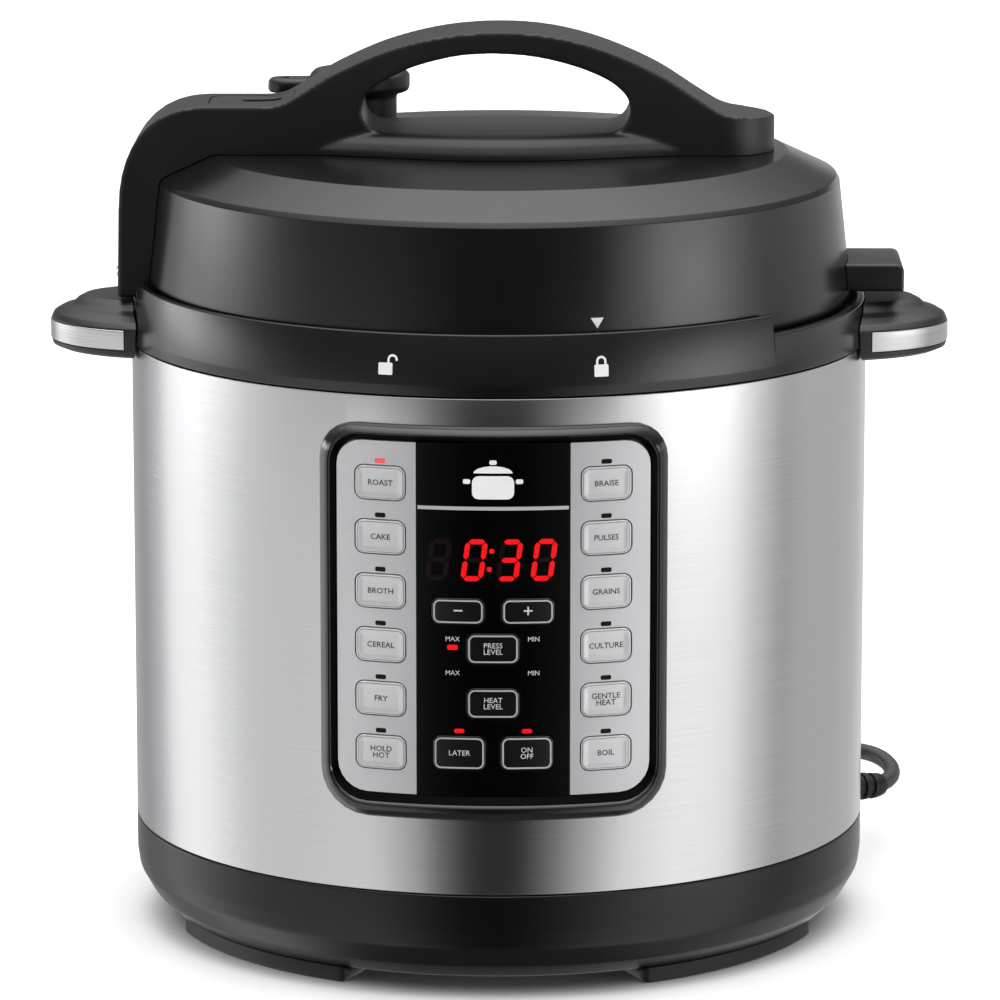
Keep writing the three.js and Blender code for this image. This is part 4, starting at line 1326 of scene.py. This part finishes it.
def valve_shield():
    """A cap with slots in its wall, over the pipe's inner end."""
    low, high = corners("valve_shield")
    cap = turned([
        (0, low.z), (11.6, low.z, 1), (13, low.z + 1.4, 1), (13, high.z, 0.3), (11.8, high.z, 0.3),
        (11.8, low.z + 2, 0.6), (0, low.z + 1.4),
    ], segments=ROUND_SMALL)
    slots = []
    for turn in range(0, 180, 30):
        slot = stack(rectangle(-16, 16, -1.0, 1.0, 0.9), [(0, low.z + 4), (0, high.z - 2.5)])
        bmesh.ops.rotate(slot, matrix=Matrix.Rotation(radians(turn), 3, "Z"), verts=slot.verts)
        slots.append(slot)
    return moved(combine(cap, slots), *STEAM)


def float_valve():
    low, high = FLOAT_LOW.z, FLOAT_HIGH.z
    return moved(turned([
        (0, low), (6, low, 0.4), (6, low + 2, 0.5), (3, low + 2, 0.4), (3, high - 9.2, 0.4),
        (4.6, high - 9.2, 0.5), (4.6, high - 0.6, 0.8), (3.6, high, 0.6), (0, high),
    ], segments=ROUND_SMALL), *FLOAT)


# ---- condensation cup ----


def cup_holder():
    low, high = corners("cup_holder")
    outline = rectangle(low.x, high.x, low.z, high.z, 4)
    return bent(plate(outline, [], BODY_R + 0.4, 139.8, 0.4), 1)


def condensation_cup():
    """An open cup whose back follows the body."""
    low, high = corners("condensation_cup")
    outside = stack(rectangle(-high.x, high.x, 117.5, high.y, 6), soft_edges(low.z, high.z, 3, 0.6))
    inside = stack(rectangle(-31.6, 31.6, 118.9, high.y - 1.4, 4.6),
                   soft_edges(low.z + 1.5, 220, 2.5, 0.1))
    hollow = combine(inside, [cylinder(141.5, 150, 220)])
    return combine(outside, [cylinder(140.1, 150, 220), hollow])


# ---- build: base ----

show("tray", base_tray(), TRAY_BLACK, "base", "black_plastic", "base_tray")
for foot_name, start, end in (("front_right", 25.5, 70), ("front_left", -70, -25.5),
                              ("rear_right", 110, 154.5), ("rear_left", 205.5, 250)):
    show(f"pad_{foot_name}", foot(start, end), RUBBER, "base", "black_rubber", f"foot_{foot_name}")
show("steel_wrap", outer_shell(), STEEL, "base", "brushed_steel", "outer_shell")
show("collar_ring", collar(), BLACK, "base", "black_plastic", "collar")
show("grip_right", side_handle(), HANDLE_BLACK, "base", "black_plastic", "right_handle")
show("grip_left", left_of(side_handle()), HANDLE_BLACK, "base", "black_plastic", "left_handle")
show("trim_right", side_trim(), TRIM, "base", "brushed_steel", "right_handle_trim")
show("trim_left", left_of(side_trim()), TRIM, "base", "brushed_steel", "left_handle_trim")
show("pot_well", inner_housing(), ALUMINIUM, "base", "aluminium", "inner_housing")
show("bayonet_ring", locking_ring(), PRESSED, "base", "bare_steel", "locking_ring")
show("hotplate", heater_plate(), ALUMINIUM, "base", "aluminium", "heater_plate")
show("sensor_button", thermostat_sensor(), ALUMINIUM, "sensor", "aluminium", "thermostat_sensor")
power_board, board_blocks, board_can = board_parts()
show("power_circuit", power_board, BOARD, "base", "circuit_board", "power_board")
show("power_blocks", board_blocks, COMPONENT, "base", "circuit_board")
show("power_can", board_can, PLAIN_METAL, "base", "circuit_board")
show("control_circuit", control_board(), BOARD, "base", "circuit_board", "control_board")
show("cooking_pot", inner_pot(), PRESSED, "pot", "bare_steel", "inner_pot")
show("cup_bracket", cup_holder(), BLACK, "base", "black_plastic", "cup_holder")
show("drip_cup", condensation_cup(), SMOKE, "cup", "smoke_plastic", "condensation_cup")
show("lock_sign_open", padlock(-16.15, 233.2, True), WHITE_INK, "base", "black_plastic")
show("lock_sign_closed", padlock(16.15, 232.7, False), WHITE_INK, "base", "black_plastic")

# ---- build: control panel ----

show("panel_frame", control_bezel(), GLOSS, "base", "gloss_black", "control_bezel")
# The lip's darker, duller black is painted shade, not a different plastic from the frame.
show("panel_lip_painted_shade", bezel_shade_lip(), WINDOW_AND_LIP_SHADE, "base", "gloss_black")
film_edge = WINDOW_HALF_WIDTH + 0.3
for side, x0, x1, radii in (("left", -OVERLAY_HIGH.x, -film_edge, (10.7, 0.2, 0.2, 9.2)),
                            ("right", film_edge, OVERLAY_HIGH.x, (0.2, 10.7, 9.2, 0.2))):
    keys = [name for name in PROGRAMMES if side in name]
    show(f"film_{side}", keypad_sheet(x0, x1, keys, radii), FILM, "base", "silver_film",
         f"keypad_{side}", smooth=12)
window = keypad_sheet(-WINDOW_HALF_WIDTH, WINDOW_HALF_WIDTH, CENTRE_WORDS, (0.2,) * 4)
show("window_sheet", window, WINDOW_AND_LIP_SHADE, "base", "gloss_black", "display_window", smooth=12)

for name, word in PROGRAMMES.items():
    show(f"{name}_cap", key_cap(name, True), KEY_SILVER, name, "silver_key", name)
    show(f"{name}_line", key_line(name, 0.5, 0.75, 0.02), GREY_INK, name, "silver_key")
    label = key_label(name, word, 2.0, -0.4, -0.18, 0.02)
    show(f"{name}_label", label, DARK_INK, name, "silver_key")
for name, word in CENTRE_WORDS.items():
    show(f"{name}_cap", key_cap(name, False), KEY_BLACK, name, "black_key", name)
    show(f"{name}_line", key_line(name, 0.7, 1.25, PRINT), PALE_INK, name, "black_key")
    label = key_label(name, word, 4.6 if len(word) == 1 else 1.9, -0.05, PRINT)
    show(f"{name}_label", label, PRINT_INK, name, "black_key")

dark_lamps = [key_lamp(name) for name in PROGRAMMES if name != LIT_KEY]
centre_lamps = [pill(-12.1, 101.6, 3.6, 1.6), pill(12.1, 101.6, 3.6, 1.6), pill(-14.5, 132.2, 3.8, 1.9)]
show("lamps_dark", on_film(dark_lamps), SLOT_BLACK, "base", "display_body")
show("lamp_programme", on_film([key_lamp(LIT_KEY)]), PINK_LIGHT, "base", "display_body")
show("lamps_centre", on_film(centre_lamps), RED_LIGHT, "base", "display_body")
show("display_block", display_module(), COMPONENT, "base", "display_body", "display_module")
line = rectangle(-26.9, 26.9, 182.2, 183.5, 0.1)()
show("window_line", on_film([line]), PALE_INK, "base", "gloss_black")
show("pot_sign", on_film(pot_symbol()), WHITE_INK, "base", "gloss_black")
level_words = bent(merged(*[
    lettering(word, x, z, 1.7, OVERLAY_R - 0.05, FILM_TOP)
    for z in (135.2, 122.8) for word, x in (("MAX", -14.5), ("MIN", 14.5))
]))
show("level_words", level_words, PRINT_INK, "base", "gloss_black")
lit = digit(-6.7, "abcdef") + digit(5.85, "abcdg") + digit(18.15, "abcdef") + colon()
dark = digit(-19.4, "abcdefg") + digit(-6.7, "g") + digit(5.85, "ef") + digit(18.15, "g")
show("display_lit", on_film(lit), RED_LIGHT, "base", "display_body")
show("display_dark", on_film(dark), DARK_SEGMENT, "base", "display_body")

# ---- build: lid ----

show("lid_cover", lid_shell(), BLACK, "lid", "black_plastic", "lid_shell")
show("lid_disc", lid_plate(), PRESSED, "lid", "bare_steel", "lid_plate")
show("seal", sealing_ring(), SILICONE, "lid_seal", "silicone", "sealing_ring")
show("seal_wire", seal_rack(), PLAIN_METAL, "lid_seal", "bare_steel", "seal_rack")
show("lid_bar", lid_handle(), HANDLE_BLACK, "lid", "black_plastic", "lid_handle", smooth=40)
show("bar_insert", handle_insert(), HANDLE_BLACK, "lid", "black_plastic", "handle_insert")
show("bar_screw", leg_screw(), PLAIN_METAL, "lid", "bare_steel", "leg_screw")
show("lid_wing", lid_fin(), HANDLE_BLACK, "lid", "black_plastic", "lid_fin")
show("steam_knob", steam_valve(), HANDLE_BLACK, "steam_valve_knob", "black_plastic", "steam_valve")
show("steam_pipe", valve_pipe(), PLAIN_METAL, "lid", "bare_steel", "valve_pipe")
show("steam_guard", valve_shield(), PLAIN_METAL, "lid", "bare_steel", "valve_shield")
show("float_pin_red", float_valve(), RED, "float_pin", "red_plastic", "float_valve")
marker = prism([(-2.4, 249.0), (2.4, 249.0), (0, 245.2)], -0.03, PRINT)
show("lid_marker", wrapped(marker, 16.3, lid_radius), WHITE_INK, "lid", "black_plastic")

# ---- stage ----


def floor():
    """A pale floor with a very slight unevenness, which the glossy parts do not mirror."""
    mesh = bmesh.new()
    bmesh.ops.create_circle(mesh, cap_ends=True, radius=14, segments=96)
    data = as_data(mesh, "floor")
    data.materials.append(moulded("floor_paper", 0.9, 0.93, (0.8, 0.9), 300.0, 0.02))
    item = in_scene("floor", data)
    item.visible_glossy = False


# Brightness round the studio near and below the camera's level, by bearing from the front.
STUDIO = [
    (-180, 0.72), (-165, 0.5), (-148, 0.38), (-134, 0.6), (-122, 1.35), (-108, 1.42), (-95, 1.1),
    (-84, 0.86), (-66, 0.88), (-40, 0.95), (-28, 0.62), (-17, 0.17), (-8, 0.02), (8, 0.02), (17, 0.2),
    (28, 0.55), (42, 1.1), (60, 1.3), (76, 1.25), (90, 0.75), (100, 0.45), (110, 0.6), (130, 0.58),
    (150, 0.62), (165, 0.78),
]

# The same at eye level: two tall strips of light between dark flags.
EYE_LEVEL = [
    (-180, 0.5), (-150, 0.4), (-136, 1.0), (-122, 4.0), (-108, 5.0), (-96, 3.5), (-84, 1.6), (-72, 0.6),
    (-60, 0.32), (-36, 0.2), (-20, 0.08), (-8, 0.01), (8, 0.01), (20, 0.08), (34, 0.2), (46, 2.0),
    (58, 4.6), (72, 4.8), (84, 2.4), (96, 1.0), (110, 0.85), (130, 1.0), (148, 0.85), (165, 0.8),
]

# Brightness by the angle above the horizon: a large soft box overhead.
SKY = [(0, 0.16), (11, 0.16), (20, 0.28), (30, 0.5), (45, 1.3), (58, 2.2), (75, 2.8), (90, 2.8)]

# Brightness below the cooker, where a dark table stands.
BELOW = 0.16


def background(tree, colour, strength=1.0):
    return node(tree, "Background", {"Color": colour, "Strength": strength})


def graded(tree, share, stops):
    """A background that follows (share, brightness, blueness) stops."""
    brightest = max(stop[1] for stop in stops)
    ramp = node(tree, "ValToRGB", {"Fac": share})
    ramp.color_ramp.interpolation = "EASE"
    elements = ramp.color_ramp.elements
    for i, (position, level, blueness) in enumerate(stops):
        grey = level / brightest
        element = elements[i] if i < 2 else elements.new(position)
        element.position = position
        element.color = (grey, grey, grey * blueness, 1)
    return background(tree, ramp, brightest)


def light_ring(tree, share, ring):
    """A background whose brightness changes with the bearing, a little blue at the far left."""
    return graded(tree, share, [
        ((bearing + 180) / 360, level, 1.03 if bearing < -130 else 1.0) for bearing, level in ring])


def cross_fade(tree, height, low, high, below, above):
    """One background under a height and another over it."""
    inputs = {"Value": height, "From Min": low, "From Max": high}
    share = node(tree, "MapRange", inputs, interpolation_type="SMOOTHSTEP")
    return node(tree, "MixShader", {0: share, 1: below, 2: above})


def studio():
    """Soft light all round; the camera itself sees a plain pale backdrop."""
    world = bpy.data.worlds.new("studio")
    bpy.context.scene.world = world
    world.use_nodes = True
    tree = world.node_tree
    tree.nodes.clear()
    parts = node(tree, "SeparateXYZ", {"Vector": node(tree, "TexCoord", {})}).outputs
    inputs = {"Value": bearing_of(tree, parts), "From Min": -pi, "From Max": pi}
    share = node(tree, "MapRange", inputs)
    sky = graded(tree, parts["Z"], [(sin(radians(angle)), level, 1.0) for angle, level in SKY])
    below = background(tree, (BELOW, BELOW, BELOW, 1))
    low = cross_fade(tree, parts["Z"], -0.93, -0.8, below, light_ring(tree, share, STUDIO))
    middle = cross_fade(tree, parts["Z"], -0.03, 0.01, low, light_ring(tree, share, EYE_LEVEL))
    soft = cross_fade(tree, parts["Z"], 0.07, 0.15, middle, sky)
    plain = background(tree, (0.98, 0.98, 0.98, 1))
    seen = node(tree, "LightPath", {}).outputs["Is Camera Ray"]
    node(tree, "OutputWorld", {"Surface": node(tree, "MixShader", {0: seen, 1: soft, 2: plain})})


def soft_box(name, place, power, size):
    data = bpy.data.lights.new(name, "AREA")
    data.energy = power
    data.shape = "DISK"
    data.size = size
    item = in_scene(name, data)
    aimed(item, place, Vector((0, 0, 0.15)))
    item.visible_camera = False
    item.visible_glossy = False


floor()
studio()
soft_box("light_top", (0.3, -0.4, 3.0), 25, 2.4)
soft_box("light_back", (-0.6, 2.6, 2.6), 20, 2.0)
bpy.context.scene.view_settings.view_transform = "Standard"
